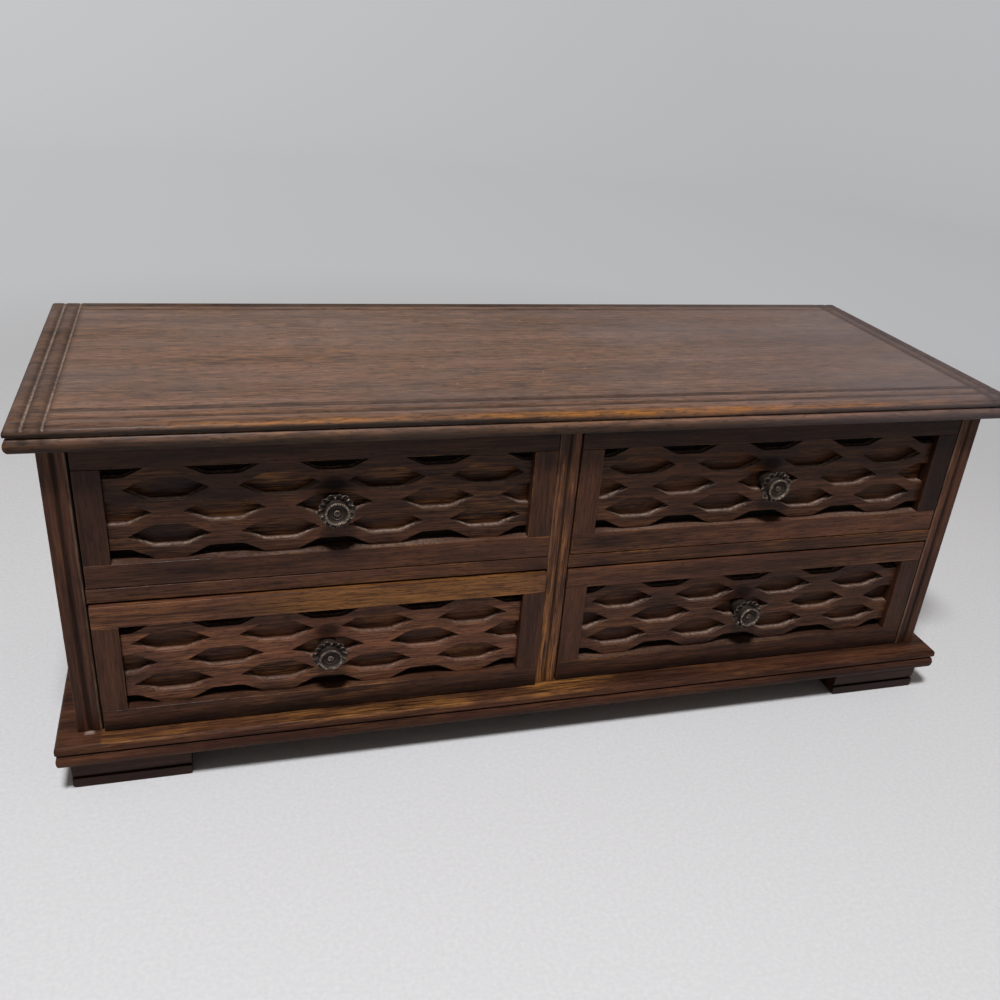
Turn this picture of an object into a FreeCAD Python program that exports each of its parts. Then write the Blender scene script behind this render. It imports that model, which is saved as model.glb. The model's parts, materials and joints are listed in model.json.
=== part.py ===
import FreeCAD, Part
import os
import re
import Sketcher
from FreeCAD import Placement, Rotation, Vector

# Four-drawer musical jewelry box of stained wood. Millimetres, +Z up, +Y to the back.
# The origin is on the floor, under the middle of the box and its winding key.

SIZES = {
    # top and base boards
    "board_width": 380, "board_depth": 141, "overhang": 8.7, "top_thick": 8.9, "base_thick": 9.1,
    "top_upper_bead": 3.2, "base_upper_bead": 3.5, "bead_groove": 1.5, "bead_gap": 0.8,
    "top_bead_inset": 1.1, "base_bead_inset": 0.6,
    "bead_lip": 0.4, "bead_round": 2.2, "base_round": 1.2,
    # reeds along the edges of the top: where they end, measured from the edge
    "reed_start": 1, "reed_rise": 0.75, "field_slope": 0.8, "end_reed": 5.8, "end_reeds": 12,
    "front_reed": 8, "front_reeds": 14.9, "back_reed": 6, "back_reeds": 12,
    # feet
    "foot_height": 14.1, "foot_width": 43, "foot_depth": 30, "foot_inset": 5.3,
    "foot_side_inset": 3.8, "foot_plinth": 4.1, "foot_step": 0.6, "foot_bulge": 0.5,
    "foot_groove": 0.7, "foot_corner": 0.8,
    # case between the boards
    "case_width": 364.8, "case_height": 116.3, "side_thick": 9.1, "centre_thick": 8.7,
    "back_thick": 4, "face_thick": 4, "rail_height": 5.5, "rail_bottom": 55.4,
    "stile_flat": 3.4, "stile_groove": 0.7, "stile_relief": 0.8,
    # screws
    "screw_radius": 1.2, "screw_head": 2.6, "screw_head_thick": 1.2, "screw_length": 14,
    "screw_margin": 16, "slot_width": 0.8, "slot_depth": 0.6,
    # drawer fronts
    "drawer_height": 54, "drawer_gap": 0.4, "drawer_lift": 0.5, "frame_rail": 9, "frame_stile": 9,
    "frame_thick": 6.1, "lattice_recess": 2.3, "panel_thick": 3.9, "ajar": 1.6,
    # lattice: rows of stretched hexagons, every other row moved on by half a pitch
    "hex_half": 14, "hex_flat_half": 5.7, "hex_rise": 4.35, "hex_curve": 6, "hex_pitch": 37.8,
    "hexes_across": 4, "rows_high": 4,
    # how far right of its window's middle each sawn pattern and its knob sit
    "upper_left_shift": 1.5, "upper_right_shift": -0.6, "lower_left_shift": -1.3,
    "lower_right_shift": -1,
    # drawer boxes
    "wall_thick": 5, "wall_height": 46, "wall_drop": 0.2, "box_length": 100,
    "short_box_length": 78, "bottom_thick": 2.5, "bottom_lift": 1.5, "lining_thick": 0.8,
    "lining_height": 38,
    # cast rosette knobs, as radii and as distances in front of the drawer's face
    "knob_stem": 1.6, "knob_neck": 3.4, "knob_rivet": 2.6, "rivet_thick": 0.8, "knob_disc": 5.2,
    "petal_count": 14, "petal_root": 4.4, "petal_shoulder": 6.1, "petal_tip": 0.9, "petal_half": 1.3,
    "petal_back": 2.7, "petal_thick": 1.3, "ring_radius": 4.7, "ring_half": 0.7, "ring_crown": 0.6,
    "knob_reach": 7, "dish_depth": 1.6, "boss_radius": 1.3, "boss_rise": 0.9,
    # movement on the back panel: u to the right, w up, and its height forward from the panel
    "move_x": -88, "move_up": 28.5, "plate_left": 27, "plate_right": 34, "plate_down": 21,
    "plate_high": 23, "plate_thick": 3, "mount_margin": 3, "shaft_height": 17.4,
    "running_gap": 0.05,
    # winding side
    "spring_u": -14, "housing_radius": 11, "housing_top": 12, "housing_wall": 1,
    "arbor_radius": 1.6, "arbor_out": 9, "arbor_core": 3.3, "core_low": 3.3, "core_high": 10.8,
    "collar_radius": 2.4, "collar_low": 14.3, "collar_high": 15.1,
    "coil_start": 4, "coil_pitch": 0.9, "coil_turns": 6, "coil_thick": 0.4, "coil_low": 3.6,
    "coil_width": 7, "key_reach": 14, "key_lobe": 4.6, "key_lobe_x": 5.6, "key_lobe_hole": 2.4,
    "key_thick": 1.8, "key_hub": 2.6, "key_clear": 1, "key_bore": 3,
    # wheels: tooth sizes go by the module
    "drum_module": 0.5, "worm_module": 0.6, "addendum": 0.95, "dedendum": 1.2,
    "tooth_root": 0.95, "tooth_middle": 0.6, "tooth_tip": 0.3,
    "crown_teeth": 40, "drum_pinion_teeth": 10, "drum_gear_teeth": 30,
    "governor_pinion_teeth": 10, "governor_teeth": 16,
    "crown_low": 12.6, "crown_face": 14.2, "crown_inner": 9, "crown_outer": 11, "crown_tip": 0.75,
    "crossing_count": 5, "crossing_radius": 2, "crossing_place": 5.4,
    # drum
    "shaft_radius": 1, "shaft_left": 5.4, "shaft_right": 25.2, "pinion_left": 5, "pinion_thick": 2,
    "drum_left": 0.6, "drum_right": 20, "drum_radius": 6.5, "pin_length": 0.8, "pin_radius": 0.25,
    "pins_per_tooth": 2, "pin_turn": 137.5, "gear_left": 20.8, "gear_thick": 1.3,
    # bearing cheeks, comb ledge and lever post on the bedplate
    "cheek_left": -2.6, "cheek_right": 23, "cheek_thick": 1.8, "cheek_half": 3, "cheek_top": 20.2,
    "cheek_low": -13.3, "ledge_low": 15, "ledge_high": 22, "ledge_margin": 1,
    "post_left": 9.5, "post_right": 14.5, "post_low": -17, "post_high": -11.3, "post_top": 26.2,
    # comb
    "comb_left": 1.4, "comb_teeth": 18, "comb_pitch": 1, "comb_slot": 0.3, "comb_tip": 7.6,
    "comb_root": 14, "comb_thick": 1.2, "comb_tooth_thick": 0.6, "comb_screw_place": 4,
    "comb_screw_radius": 0.9, "comb_screw_head": 1.8, "comb_screw_head_thick": 0.9,
    "comb_screw_length": 5,
    # governor
    "governor_w": -10.1, "arbor_slim": 0.8, "governor_pinion_left": 20.6,
    "governor_pinion_thick": 1.7, "governor_u": 27.65, "governor_thick": 0.7, "governor_left": 20.2,
    "governor_right": 33.2, "worm_u": 28, "worm_gap": 0.3, "worm_starts": 2, "worm_radius": 1.8,
    "worm_root": 1.15, "worm_low": 12.9, "worm_length": 9, "thread_root": 0.36,
    "thread_crest": 0.15,
    "pivot_radius": 0.5, "pivot_low": 9.3, "pivot_high": 26.9, "fly_radius": 5, "fly_hub": 1.4,
    "fly_low": 23.6, "fly_height": 2.2, "fly_half": 0.3, "fly_phase": 187,
    # governor frame
    "foot_left": 25.4, "frame_right": 33.4, "frame_low": -13, "frame_high": 6, "frame_foot": 1.5,
    "arm_left": 26, "arm_right": 30, "arm_post": 2.7, "arm_post_end": 5, "arm_end": -5.6,
    "lower_arm": 9, "upper_arm": 26.1, "arm_thick": 1.3, "upright_left": 31.8,
    "upright_low": -12.6, "upright_high": -7.6, "upright_top": 20.2,
    # stop lever
    "lever_u": 12, "lever_h": 24, "lever_w": -11, "lever_thick": 1, "lever_half": 1.1,
    "lever_reach": 26, "lever_short": 12, "lever_finger": 2, "lever_crown": 0.8, "lever_tip": 31.4,
    "lever_pin": 1,
}

doc = FreeCAD.newDocument("jewelry_box")
sheet = doc.addObject("Spreadsheet::Sheet", "sheet")
for row, (name, size) in enumerate(SIZES.items(), start=1):
    sheet.set(f"A{row}", name)
    sheet.set(f"B{row}", str(size))
    sheet.setAlias(f"B{row}", name)
doc.recompute()

# Places that many pieces share, in words of the sheet
BASE_TOP = "(foot_height + base_thick)"
CASE_TOP = f"({BASE_TOP} + case_height)"
BOARD_FRONT = "(-(board_depth + key_reach - overhang) / 2)"
BOARD_BACK = f"({BOARD_FRONT} + board_depth)"
CASE_FRONT = f"({BOARD_FRONT} + overhang)"
CASE_BACK = f"({BOARD_BACK} - overhang)"
PANEL_INSIDE = f"({CASE_BACK} - back_thick)"
BOARD_RUN = f"({PANEL_INSIDE} - {CASE_FRONT} - face_thick)"
BAY_WIDTH = "(case_width / 2 - side_thick - centre_thick / 2)"
DRAWER_WIDTH = f"({BAY_WIDTH} - 2 * drawer_gap)"
WINDOW_WIDTH = f"({DRAWER_WIDTH} - 2 * frame_stile)"
WINDOW_HEIGHT = "(drawer_height - 2 * frame_rail)"
FRONT_THICK = "(frame_thick + panel_thick)"
MOVE_Z = f"({BASE_TOP} + move_up)"

# Directions that a body's own Z axis is turned to
UPRIGHT = Rotation()
FRONTWAYS = Rotation(Vector(1, 0, 0), 90)
BACKWARDS = Rotation(Vector(1, 0, 0), -90)
SIDEWAYS = Rotation(Vector(0, 1, 0), 90)


def words(text):
    """Turn the sheet's names in a formula into references to its cells."""
    return re.sub(r"[a-z_][a-z_0-9]*", lambda m: "sheet." + m[0] if m[0] in SIZES else m[0], str(text))


def number(text):
    """The value of a formula."""
    return float(sheet.evalExpression(words(text)))


def bind(thing, **formulas):
    """Tie properties to formulas. x, y and z stand for the place."""
    for key, formula in formulas.items():
        path = "Placement.Base." + key if key in "xyz" else key
        thing.setExpression(path, words(formula))
    return thing


def turned(thing, rotation):
    thing.Placement = Placement(thing.Placement.Base, rotation)
    return thing


def block(label, length, width, height, x, y, z):
    box = doc.addObject("Part::Box", label)
    return bind(box, Length=length, Width=width, Height=height, x=x, y=y, z=z)


def rod(label, radius, length, x, y, z, rotation=UPRIGHT):
    cylinder = turned(doc.addObject("Part::Cylinder", label), rotation)
    return bind(cylinder, Radius=radius, Height=length, x=x, y=y, z=z)


def group(label, pieces):
    """Separate solids that share one node."""
    result = doc.addObject("Part::Compound", label)
    result.Links = pieces
    return result


def fused(label, pieces):
    result = doc.addObject("Part::MultiFuse", label)
    result.Shapes = pieces
    return result


def cut(label, base, tool):
    result = doc.addObject("Part::Cut", label)
    result.Base = base
    result.Tool = tool
    return result


def common(label, base, tool):
    result = doc.addObject("Part::Common", label)
    result.Base = base
    result.Tool = tool
    return result


def new_body(label, x, y, z, rotation=UPRIGHT):
    return bind(turned(doc.addObject("PartDesign::Body", label), rotation), x=x, y=y, z=z)


def origin_part(body, role):
    return next(part for part in body.Origin.OriginFeatures if part.Role == role)


def new_sketch(body, role, name, offset):
    sketch = body.newObject("Sketcher::SketchObject", body.Name + "_" + name)
    sketch.AttachmentSupport = (origin_part(body, role), [""])
    sketch.MapMode = "FlatFace"
    sketch.setExpression("AttachmentOffset.Base.z", words(offset))
    return sketch


def pin_down(sketch, geometry, point, x, y):
    """Hold one point of a sketch at two formulas, measured from the sketch's origin."""
    for kind, axis, formula in (("DistanceX", -2, x), ("DistanceY", -1, y)):
        size = number(formula)
        if abs(size) < 1e-7:
            sketch.addConstraint(Sketcher.Constraint("PointOnObject", geometry, point, axis))
            continue
        # a distance is never negative, so a point on the far side of the origin swaps its ends
        ends = (-1, 1, geometry, point) if size > 0 else (geometry, point, -1, 1)
        index = sketch.addConstraint(Sketcher.Constraint(kind, *ends, abs(size)))
        sign = "" if size > 0 else "-1 * "
        sketch.setExpression(f"Constraints[{index}]", words(f"{sign}({formula})"))


def hold_radius(sketch, geometry, radius):
    index = sketch.addConstraint(Sketcher.Constraint("Radius", geometry, number(radius)))
    sketch.setExpression(f"Constraints[{index}]", words(radius))


def end_at(sketch, geometry, place):
    """1 where the line or arc starts at a place and 2 where it ends there."""
    return 1 if (sketch.getPoint(geometry, 1) - place).Length < 1e-4 else 2


def outline(body, role, name, corners, offset="0"):
    """A closed outline. A corner is (x, y), or (x, y, radius) where an arc leads on from it,
    which bulges to the right of its way."""
    sketch = new_sketch(body, role, name, offset)
    points = [Vector(number(corner[0]), number(corner[1]), 0) for corner in corners]
    for i, corner in enumerate(corners):
        start, end = points[i], points[(i + 1) % len(points)]
        if len(corner) == 2:
            sketch.addGeometry(Part.LineSegment(start, end), False)
            continue
        radius = number(corner[2])
        chord = end - start
        bulge = radius - (radius ** 2 - (chord.Length / 2) ** 2) ** 0.5
        side = Vector(chord.y, -chord.x, 0).normalize()
        sketch.addGeometry(Part.Arc(start, (start + end) * 0.5 + side * bulge, end), False)
    for i, corner in enumerate(corners):
        after = (i + 1) % len(corners)
        ends = (i, end_at(sketch, i, points[after]), after, end_at(sketch, after, points[after]))
        sketch.addConstraint(Sketcher.Constraint("Coincident", *ends))
        pin_down(sketch, i, end_at(sketch, i, points[i]), corner[0], corner[1])
        if len(corner) > 2:
            hold_radius(sketch, i, corner[2])
    return sketch


def oblong(left, low, right, high):
    return [(left, low), (right, low), (right, high), (left, high)]


def circles(body, role, name, places, radius, offset="0"):
    sketch = new_sketch(body, role, name, offset)
    for i, (x, y) in enumerate(places):
        sketch.addGeometry(Part.Circle(Vector(number(x), number(y), 0), Vector(0, 0, 1), 1), False)
        pin_down(sketch, i, 3, x, y)
        hold_radius(sketch, i, radius)
    return sketch


def pad(body, sketch, length, reverse=False, midplane=False):
    feature = body.newObject("PartDesign::Pad", sketch.Name + "_pad")
    feature.Profile = sketch
    feature.Reversed = reverse
    feature.Midplane = midplane
    return bind(feature, Length=length)


def pocket(body, sketch, length, reverse=False):
    """A pocket has to take something away, so the volume before and after is compared."""
    doc.recompute()
    before = body.Shape.Volume
    feature = body.newObject("PartDesign::Pocket", sketch.Name + "_pocket")
    feature.Profile = sketch
    feature.Reversed = reverse
    bind(feature, Length=length)
    doc.recompute()
    if body.Shape.Volume > before - 1e-3:
        raise RuntimeError(f"{feature.Name} cuts nothing")
    return feature


def revolved(body, corners):
    """Turn a half section round the body's Z axis. A corner is (radius, height)."""
    sketch = outline(body, "XZ_Plane", "section", corners)
    feature = body.newObject("PartDesign::Revolution", sketch.Name + "_turn")
    feature.Profile = sketch
    feature.ReferenceAxis = (sketch, ["V_Axis"])
    feature.Angle = 360
    return feature


def around(body, feature, count):
    """Repeat a feature round the body's Z axis."""
    pattern = body.newObject("PartDesign::PolarPattern", feature.Name + "_round")
    pattern.Originals = [feature]
    pattern.Axis = (origin_part(body, "Z_Axis"), [""])
    pattern.Angle = 360
    bind(pattern, Occurrences=count)
    body.Tip = pattern
    return pattern


def in_rows(body, feature, across, run, up="1", rise="1"):
    """Repeat a feature along the body's X axis, and along its Z axis where up is given."""
    pattern = body.newObject("PartDesign::LinearPattern", feature.Name + "_rows")
    pattern.Originals = [feature]
    pattern.Direction = (origin_part(body, "X_Axis"), [""])
    pattern.Direction2 = (origin_part(body, "Z_Axis"), [""])
    bind(pattern, Occurrences=across, Length=run, Occurrences2=up, Length2=rise)
    body.Tip = pattern
    return pattern


def arc_over(chord, rise):
    """Radius of the arc that stands up by a rise over its chord."""
    return f"((({chord})^2 / 4 + ({rise})^2) / (2 * ({rise})))"


# Moulded boards: the section along the front and back crossed with the section of the ends

def moulded_edge(thick, upper_bead, bead_inset):
    """An edge from the underside up, as (inset, height): a bead, a groove and half a bead."""
    groove_low = f"({thick} - {upper_bead} - bead_gap)"
    groove_high = f"({thick} - {upper_bead})"
    return [
        (bead_inset, "0", arc_over(groove_low, bead_inset)),
        (bead_inset, groove_low),
        ("bead_groove", groove_low),
        ("bead_groove", groove_high),
        ("bead_lip", groove_high, "bead_round"),
    ]


def top_edge(first, second):
    """The edge of the top, with two reeds that end at the given insets."""
    valley = "(top_thick - reed_rise)"
    return moulded_edge("top_thick", "top_upper_bead", "top_bead_inset") + [
        ("reed_start", valley, arc_over(f"{first} - reed_start", "reed_rise")),
        (first, valley, arc_over(f"{second} - {first}", "reed_rise")),
        (second, valley),
        (f"({second} + field_slope)", "top_thick"),
    ]


def base_edge():
    edge = moulded_edge("base_thick", "base_upper_bead", "base_bead_inset")
    return edge + [("base_round", "base_thick")]


def board_section(width, left, right):
    corners = [(f"({width} - {point[0]})", *point[1:]) for point in right]
    for i in reversed(range(len(left))):
        arc = left[i - 1][2:] if i else ()
        corners.append((*left[i][:2], *arc))
    return corners


def crossed(label, x, y, z, rotation, ends, depth, side, width):
    """The solid that two sections have in common: ends faces the front and side faces the end."""
    front_body = new_body(label + "_ends", x, y, z, rotation)
    pad(front_body, outline(front_body, "XZ_Plane", "section", ends), depth, reverse=True)
    side_body = new_body(label + "_side", x, y, z, rotation)
    pad(side_body, outline(side_body, "YZ_Plane", "section", side), width)
    return common(label, front_body, side_body)


def moulded_board(label, z, front, back, end):
    ends = board_section("board_width", end, end)
    side = board_section("board_depth", front, back)
    return crossed(label, "-board_width / 2", BOARD_FRONT, z, UPRIGHT,
                   ends, "board_depth", side, "board_width")


def top_board():
    front = top_edge("front_reed", "front_reeds")
    back = top_edge("back_reed", "back_reeds")
    return moulded_board("top_board", CASE_TOP, front, back, top_edge("end_reed", "end_reeds"))


def base_board():
    return moulded_board("base_board", "foot_height", base_edge(), base_edge(), base_edge())


def feet():
    """Four feet, each a plinth under a groove and a slightly rounded face.

    The back pair is the front pair turned round.
    """
    above = "(foot_plinth + foot_groove)"
    ends = [
        ("foot_corner", "0"),
        ("foot_width - foot_corner", "0"),
        ("foot_width", "foot_corner"),
        ("foot_width", "foot_height"),
        ("0", "foot_height"),
        ("0", "foot_corner"),
    ]
    side = [
        ("0", "0"),
        ("foot_depth", "0"),
        ("foot_depth", "foot_height"),
        ("foot_step", "foot_height", arc_over(f"foot_height - {above}", "foot_bulge")),
        ("foot_step", above),
        ("foot_step + foot_groove", above),
        ("foot_step + foot_groove", "foot_plinth"),
        ("0", "foot_plinth"),
    ]
    outer = "(board_width / 2 - foot_side_inset)"
    front, back = f"({BOARD_FRONT} + foot_inset)", f"({BOARD_BACK} - foot_inset)"
    half_turn = Rotation(Vector(0, 0, 1), 180)
    places = {
        "front_left": (f"-{outer}", front, UPRIGHT),
        "front_right": (f"{outer} - foot_width", front, UPRIGHT),
        "back_left": (f"foot_width - {outer}", back, half_turn),
        "back_right": (outer, back, half_turn),
    }
    solids = [crossed("foot_" + name, x, y, "0", rotation, ends, "foot_depth", side, "foot_width")
              for name, (x, y, rotation) in places.items()]
    return group("feet", solids)


# Case

def stile(label, x, front_edge):
    """A face strip with beads along its front; front_edge is (x, y) with arcs, from the left."""
    body = new_body(label, x, CASE_FRONT, BASE_TOP)
    corners = front_edge + [(front_edge[-1][0], "face_thick"), (front_edge[0][0], "face_thick")]
    pad(body, outline(body, "XY_Plane", "section", corners), "case_height")
    return body


def stiles():
    bead = "(stile_flat + stile_groove)"
    outer_bead = arc_over(f"side_thick - {bead}", "stile_relief")
    centre_bead = arc_over("centre_thick / 2", "stile_relief")
    left = [("0", "0"), ("stile_flat", "0"), (bead, "stile_relief", outer_bead),
            ("side_thick", "stile_relief")]
    right = [("-side_thick", "stile_relief", outer_bead), (f"-{bead}", "stile_relief"),
             ("-stile_flat", "0"), ("0", "0")]
    centre = [("-centre_thick / 2", "stile_relief", centre_bead),
              ("0", "stile_relief", centre_bead), ("centre_thick / 2", "stile_relief")]
    return [
        stile("left_stile", "-case_width / 2", left),
        stile("right_stile", "case_width / 2", right),
        stile("centre_stile", "0", centre),
    ]


def screw_blank(label, x, z):
    """A countersunk screw, driven from behind into the edge of an upright board."""
    head = turned(doc.addObject("Part::Cone", label + "_head"), BACKWARDS)
    bind(head, Radius1="screw_radius", Radius2="screw_head", Height="screw_head_thick",
         x=x, y=f"{CASE_BACK} - screw_head_thick", z=z)
    shank_length = "(screw_length - screw_head_thick)"
    shank = rod(label + "_shank", "screw_radius", shank_length,
                x, f"{CASE_BACK} - screw_length", z, BACKWARDS)
    return fused(label + "_blank", [head, shank])


def screw_slot(label, head_radius, x, y, z):
    return block(label + "_slot", f"2 * {head_radius}", "slot_depth", "slot_width",
                 f"{x} - {head_radius}", y, f"{z} - slot_width / 2")


def case():
    """The boards between the top and the base, and the screws of the back panel."""
    columns = {"left": "-(case_width - side_thick) / 2", "centre": "0",
               "right": "(case_width - side_thick) / 2"}
    rows = {"low": f"({BASE_TOP} + screw_margin)", "high": f"({CASE_TOP} - screw_margin)"}
    blanks, slots = [], []
    for column, x in columns.items():
        for row, z in rows.items():
            label = f"back_screw_{column}_{row}"
            blanks.append(screw_blank(label, x, z))
            slots.append(screw_slot(label, "screw_head", x, f"{CASE_BACK} - slot_depth", z))
    bores = group("back_screw_bores", blanks)

    depth_start = f"{CASE_FRONT} + face_thick"
    uprights = {
        "left_side": ("-case_width / 2", "side_thick"),
        "centre_partition": ("-centre_thick / 2", "centre_thick"),
        "right_side": ("case_width / 2 - side_thick", "side_thick"),
    }
    pieces = [cut("back_panel_screws", bores, group("back_screw_slots", slots))]
    for label, (x, thick) in uprights.items():
        board = block(label + "_board", thick, BOARD_RUN, "case_height", x, depth_start, BASE_TOP)
        pieces.append(cut(label, board, bores))

    rail_z = f"{BASE_TOP} + rail_bottom"
    for side, x in (("left", "side_thick - case_width / 2"), ("right", "centre_thick / 2")):
        pieces.append(block(side + "_rail", BAY_WIDTH, "face_thick", "rail_height",
                            x, CASE_FRONT, rail_z))
        pieces.append(block(side + "_shelf", BAY_WIDTH, BOARD_RUN, "rail_height",
                            x, depth_start, rail_z))

    board = block("back_board", "case_width", "back_thick", "case_height",
                  "-case_width / 2", PANEL_INSIDE, BASE_TOP)
    key_bore = rod("key_bore_tool", "key_bore", "back_thick",
                   "move_x + spring_u", PANEL_INSIDE, MOVE_Z, BACKWARDS)
    mounts = [rod(f"mount_bore_{i}", "screw_radius", "back_thick", x, PANEL_INSIDE, z, BACKWARDS)
              for i, (x, z) in enumerate(mount_places())]
    pieces.append(cut("back_panel", board, group("back_panel_bores", [bores, key_bore, *mounts])))
    return pieces


# Drawers

def lattice(label, x, y, z, shift):
    """A fretwork board. Its origin is the middle of the window, on its front face."""
    body = new_body(label, x, y, z)
    half_width, half_height = f"({WINDOW_WIDTH} / 2)", f"({WINDOW_HEIGHT} / 2)"
    thick = "frame_thick - lattice_recess"
    board = oblong(f"-{half_width}", f"-{half_height}", half_width, half_height)
    pad(body, outline(body, "XZ_Plane", "board", board), thick, reverse=True)

    row = f"({WINDOW_HEIGHT} / rows_high)"
    first_x = f"({shift} - hexes_across * hex_pitch / 2)"

    # the slants end in sharp tips and curve into the flats
    run = "(hex_half - hex_flat_half)"
    slant = f"sqrt({run}^2 + hex_rise^2)"
    curve_length = f"(hex_curve * ({slant} - {run}) / hex_rise)"
    flat_end = f"(hex_flat_half - {curve_length})"
    slant_end = f"(hex_flat_half + {curve_length} * {run} / {slant})"
    slant_rise = f"(hex_rise - {curve_length} * hex_rise / {slant})"

    def opening(name, middle_x, middle_z):
        left, right = f"{middle_x} -", f"{middle_x} +"
        low, high = f"{middle_z} -", f"{middle_z} +"
        corners = [
            (f"{left} hex_half", middle_z),
            (f"{left} {slant_end}", f"{low} {slant_rise}", "hex_curve"),
            (f"{left} {flat_end}", f"{low} hex_rise"),
            (f"{right} {flat_end}", f"{low} hex_rise", "hex_curve"),
            (f"{right} {slant_end}", f"{low} {slant_rise}"),
            (f"{right} hex_half", middle_z),
            (f"{right} {slant_end}", f"{high} {slant_rise}", "hex_curve"),
            (f"{right} {flat_end}", f"{high} hex_rise"),
            (f"{left} {flat_end}", f"{high} hex_rise", "hex_curve"),
            (f"{left} {slant_end}", f"{high} {slant_rise}"),
        ]
        return pocket(body, outline(body, "XZ_Plane", name, corners), thick)

    even = opening("even", first_x, f"-{half_height}")
    in_rows(body, even, "hexes_across + 1", "hexes_across * hex_pitch",
            "rows_high / 2 + 1", WINDOW_HEIGHT)
    odd = opening("odd", f"({first_x} + hex_pitch / 2)", f"({row} - {half_height})")
    in_rows(body, odd, "hexes_across", "(hexes_across - 1) * hex_pitch",
            "rows_high / 2", f"{WINDOW_HEIGHT} - 2 * {row}")
    return body


def knob(label, x, y, z):
    """A rosette of curled petals round a beaded ring, on a stem that is riveted inside."""
    body = new_body(label, x, y, z, FRONTWAYS)
    inside = f"({FRONT_THICK} + lining_thick)"
    petal_front = "(petal_back + petal_thick)"
    ring_low = "(knob_reach - ring_crown)"
    dish = "(knob_reach - dish_depth)"
    revolved(body, [
        ("0", f"-{inside} - rivet_thick"),
        ("knob_rivet", f"-{inside} - rivet_thick"),
        ("knob_rivet", f"-{inside}"),
        ("knob_stem", f"-{inside}"),
        ("knob_stem", "-frame_thick"),
        ("knob_neck", "-frame_thick"),
        ("knob_neck", "petal_back / 2"),
        ("knob_disc", "petal_back"),
        ("knob_disc", petal_front),
        ("ring_radius", f"{petal_front} + boss_rise"),
        ("ring_radius", ring_low, arc_over("2 * ring_half", "ring_crown")),
        ("ring_radius - 2 * ring_half", ring_low),
        ("ring_radius - 2 * ring_half", dish),
        ("boss_radius", dish),
        ("boss_radius", f"{dish} + boss_rise"),
        ("0", f"{dish} + boss_rise"),
    ])
    petal = outline(body, "XY_Plane", "petal", [
        ("petal_root", "-petal_half"),
        ("petal_shoulder", "-petal_half", arc_over("2 * petal_half", "petal_tip")),
        ("petal_shoulder", "petal_half"),
        ("petal_root", "petal_half"),
    ], "petal_back")
    around(body, pad(body, petal, "petal_thick"), "petal_count")
    return body


def drawer(name, x, front, z, length):
    """The eight pieces of a drawer; x, front and z are its lower left front corner."""

    def at(label, wide, deep, high, right, back, up):
        return block(f"drawer_{name}_{label}", wide, deep, high,
                     f"{x} + {right}", f"{front} + {back}", f"{z} + {up}")

    def named(label):
        return f"drawer_{name}_{label}"

    rails = [
        at("rail_low", DRAWER_WIDTH, "frame_thick", "frame_rail", "0", "0", "0"),
        at("rail_high", DRAWER_WIDTH, "frame_thick", "frame_rail",
           "0", "0", "(drawer_height - frame_rail)"),
    ]
    uprights = [
        at("stile_left", "frame_stile", "frame_thick", WINDOW_HEIGHT, "0", "0", "frame_rail"),
        at("stile_right", "frame_stile", "frame_thick", WINDOW_HEIGHT,
           f"({DRAWER_WIDTH} - frame_stile)", "0", "frame_rail"),
    ]
    middle_x, middle_z = f"({x} + {DRAWER_WIDTH} / 2)", f"({z} + drawer_height / 2)"
    shift = name + "_shift"
    knob_x = f"({middle_x} + {shift})"
    stem_bore = rod(named("stem_bore"), "knob_stem", f"{FRONT_THICK} + lining_thick",
                    knob_x, front, middle_z, BACKWARDS)
    board = at("panel_board", DRAWER_WIDTH, "panel_thick", "drawer_height", "0", "frame_thick", "0")

    inner_width = f"({DRAWER_WIDTH} - 2 * wall_thick)"
    inner_length = f"({length} - wall_thick)"
    floor = "(bottom_lift - wall_drop)"
    walls = [
        at("wall_left", "wall_thick", length, "wall_height", "0", FRONT_THICK, "(-wall_drop)"),
        at("wall_right", "wall_thick", length, "wall_height",
           f"({DRAWER_WIDTH} - wall_thick)", FRONT_THICK, "(-wall_drop)"),
        at("wall_back", inner_width, "wall_thick", "wall_height",
           "wall_thick", f"{FRONT_THICK} + {inner_length}", "(-wall_drop)"),
    ]
    cloth = at("lining_cloth", inner_width, inner_length, "lining_height",
               "wall_thick", FRONT_THICK, f"{floor} + bottom_thick")
    space = at("lining_space", f"{inner_width} - 2 * lining_thick",
               f"{inner_length} - 2 * lining_thick", "lining_height",
               "wall_thick + lining_thick", f"{FRONT_THICK} + lining_thick",
               f"{floor} + bottom_thick + lining_thick")
    return [
        group(named("rails"), rails),
        group(named("stiles"), uprights),
        lattice(named("lattice"), middle_x, f"{front} + lattice_recess", middle_z, shift),
        cut(named("panel"), board, stem_bore),
        group(named("walls"), walls),
        at("bottom", inner_width, inner_length, "bottom_thick", "wall_thick", FRONT_THICK, floor),
        cut(named("lining"), cloth, group(named("lining_hollow"), [space, stem_bore])),
        knob(named("knob"), knob_x, front, middle_z),
    ]


def drawers():
    """The lower left drawer is shorter, to leave room for the movement, and stands ajar."""
    left, right = "side_thick + drawer_gap - case_width / 2", "centre_thick / 2 + drawer_gap"
    low = f"{BASE_TOP} + drawer_lift"
    high = f"{BASE_TOP} + rail_bottom + rail_height + drawer_gap"
    pieces = drawer("upper_left", left, CASE_FRONT, high, "box_length")
    pieces += drawer("upper_right", right, CASE_FRONT, high, "box_length")
    pieces += drawer("lower_left", left, f"({CASE_FRONT} - ajar)", low, "short_box_length")
    pieces += drawer("lower_right", right, CASE_FRONT, low, "box_length")
    return pieces


# Musical movement. Its bodies measure u along X, w along Y and the height along Z.

def movement_body(label, u="0", w="0"):
    return new_body(label, f"move_x + {u}", PANEL_INSIDE, f"{MOVE_Z} + {w}", FRONTWAYS)


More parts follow.
